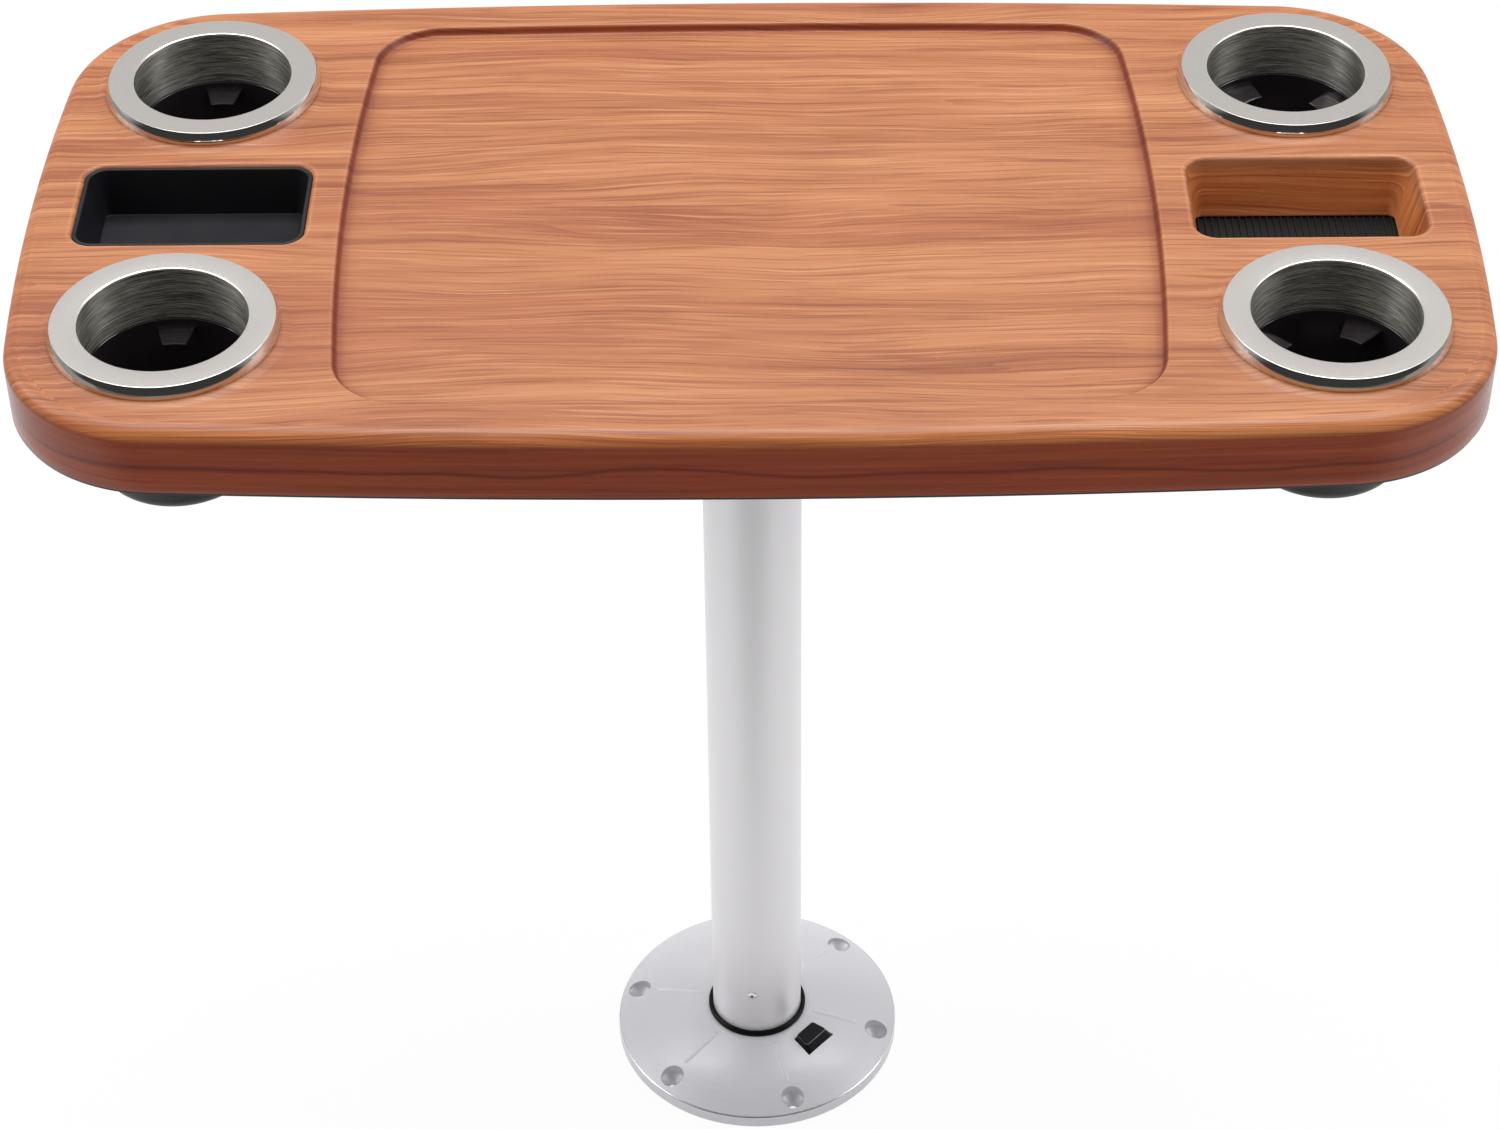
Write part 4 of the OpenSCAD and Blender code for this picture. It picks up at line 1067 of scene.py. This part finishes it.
def make_world():
    """Soft studio surroundings: bright behind and above, dark to mirrors on the camera's side, with some fill light."""
    world = bpy.data.worlds.new("studio")
    bpy.context.scene.world = world
    world.use_nodes = True
    tree = world.node_tree
    way = add_node(tree, "ShaderNodeSeparateXYZ", {0: add_node(tree, "ShaderNodeTexCoord").outputs["Generated"]})
    lean = calc(tree, "ADD", calc(tree, "MULTIPLY", way.outputs["Y"], 0.8),
                calc(tree, "MULTIPLY", way.outputs["Z"], 0.6))
    depth = span(tree, lean, -0.25, 0.2, 0.06, 0.70)
    low = calc(tree, "MULTIPLY", span(tree, way.outputs["Z"], 0.12, 0.5, 1.0, 0.0),
               span(tree, way.outputs["Y"], 0.1, 0.6))
    depth = calc(tree, "ADD", depth, calc(tree, "MULTIPLY", low, 0.5))
    path = add_node(tree, "ShaderNodeLightPath")
    near = calc(tree, "MULTIPLY", span(tree, way.outputs["Y"], 0.0, -0.7, 0.0, 0.5), path.outputs["Is Diffuse Ray"])
    level = mix(tree, path.outputs["Is Camera Ray"], calc(tree, "ADD", depth, near), (1, 1, 1, 1))
    tree.links.new(level, tree.nodes["Background"].inputs["Color"])
    tree.nodes["Background"].inputs["Strength"].default_value = 0.8


def make_lamp(name, place, target, width, height, watts):
    """A softbox aimed at a point."""
    data = bpy.data.lights.new(name, "AREA")
    data.shape = "RECTANGLE"
    data.size = width
    data.size_y = height
    data.energy = watts
    lamp = bpy.data.objects.new(name, data)
    lamp.location = place
    lamp.rotation_euler = (Vector(target) - Vector(place)).to_track_quat("-Z", "Y").to_euler()
    bpy.context.scene.collection.objects.link(lamp)


def make_camera():
    """The photograph's camera, solved from the rings, the pole and the base."""
    focal_px, image_w = 3603.24, 1500
    place = Vector((7.4, -1694.071, 1850.988)) * MM
    right = Vector((0.99996769, -0.00133706, -0.0079261))
    up = Vector((0.00690936, 0.64686376, 0.76257429))
    data = bpy.data.cameras.new("camera")
    data.sensor_fit = "HORIZONTAL"
    data.sensor_width = 36.0
    data.lens = focal_px / image_w * data.sensor_width
    camera = bpy.data.objects.new("camera", data)
    axes = Matrix((right, up, right.cross(up))).transposed()
    camera.matrix_world = Matrix.Translation(place) @ axes.to_4x4()
    bpy.context.scene.collection.objects.link(camera)
    bpy.context.scene.camera = camera


make_camera()
make_object()
make_floor()
make_world()
make_lamp("softbox_top", (0.0, 0.5, 2.6), (0.0, 0.0, 0.6), 2.2, 1.4, 52)
for side, sign in (("left", -1), ("right", 1)):
    make_lamp(f"softbox_{side}", (sign * 2.0, 0.2, 2.0), (0.0, 0.0, 0.5), 1.0, 1.4, 20)

bpy.context.scene.view_settings.view_transform = "Standard"
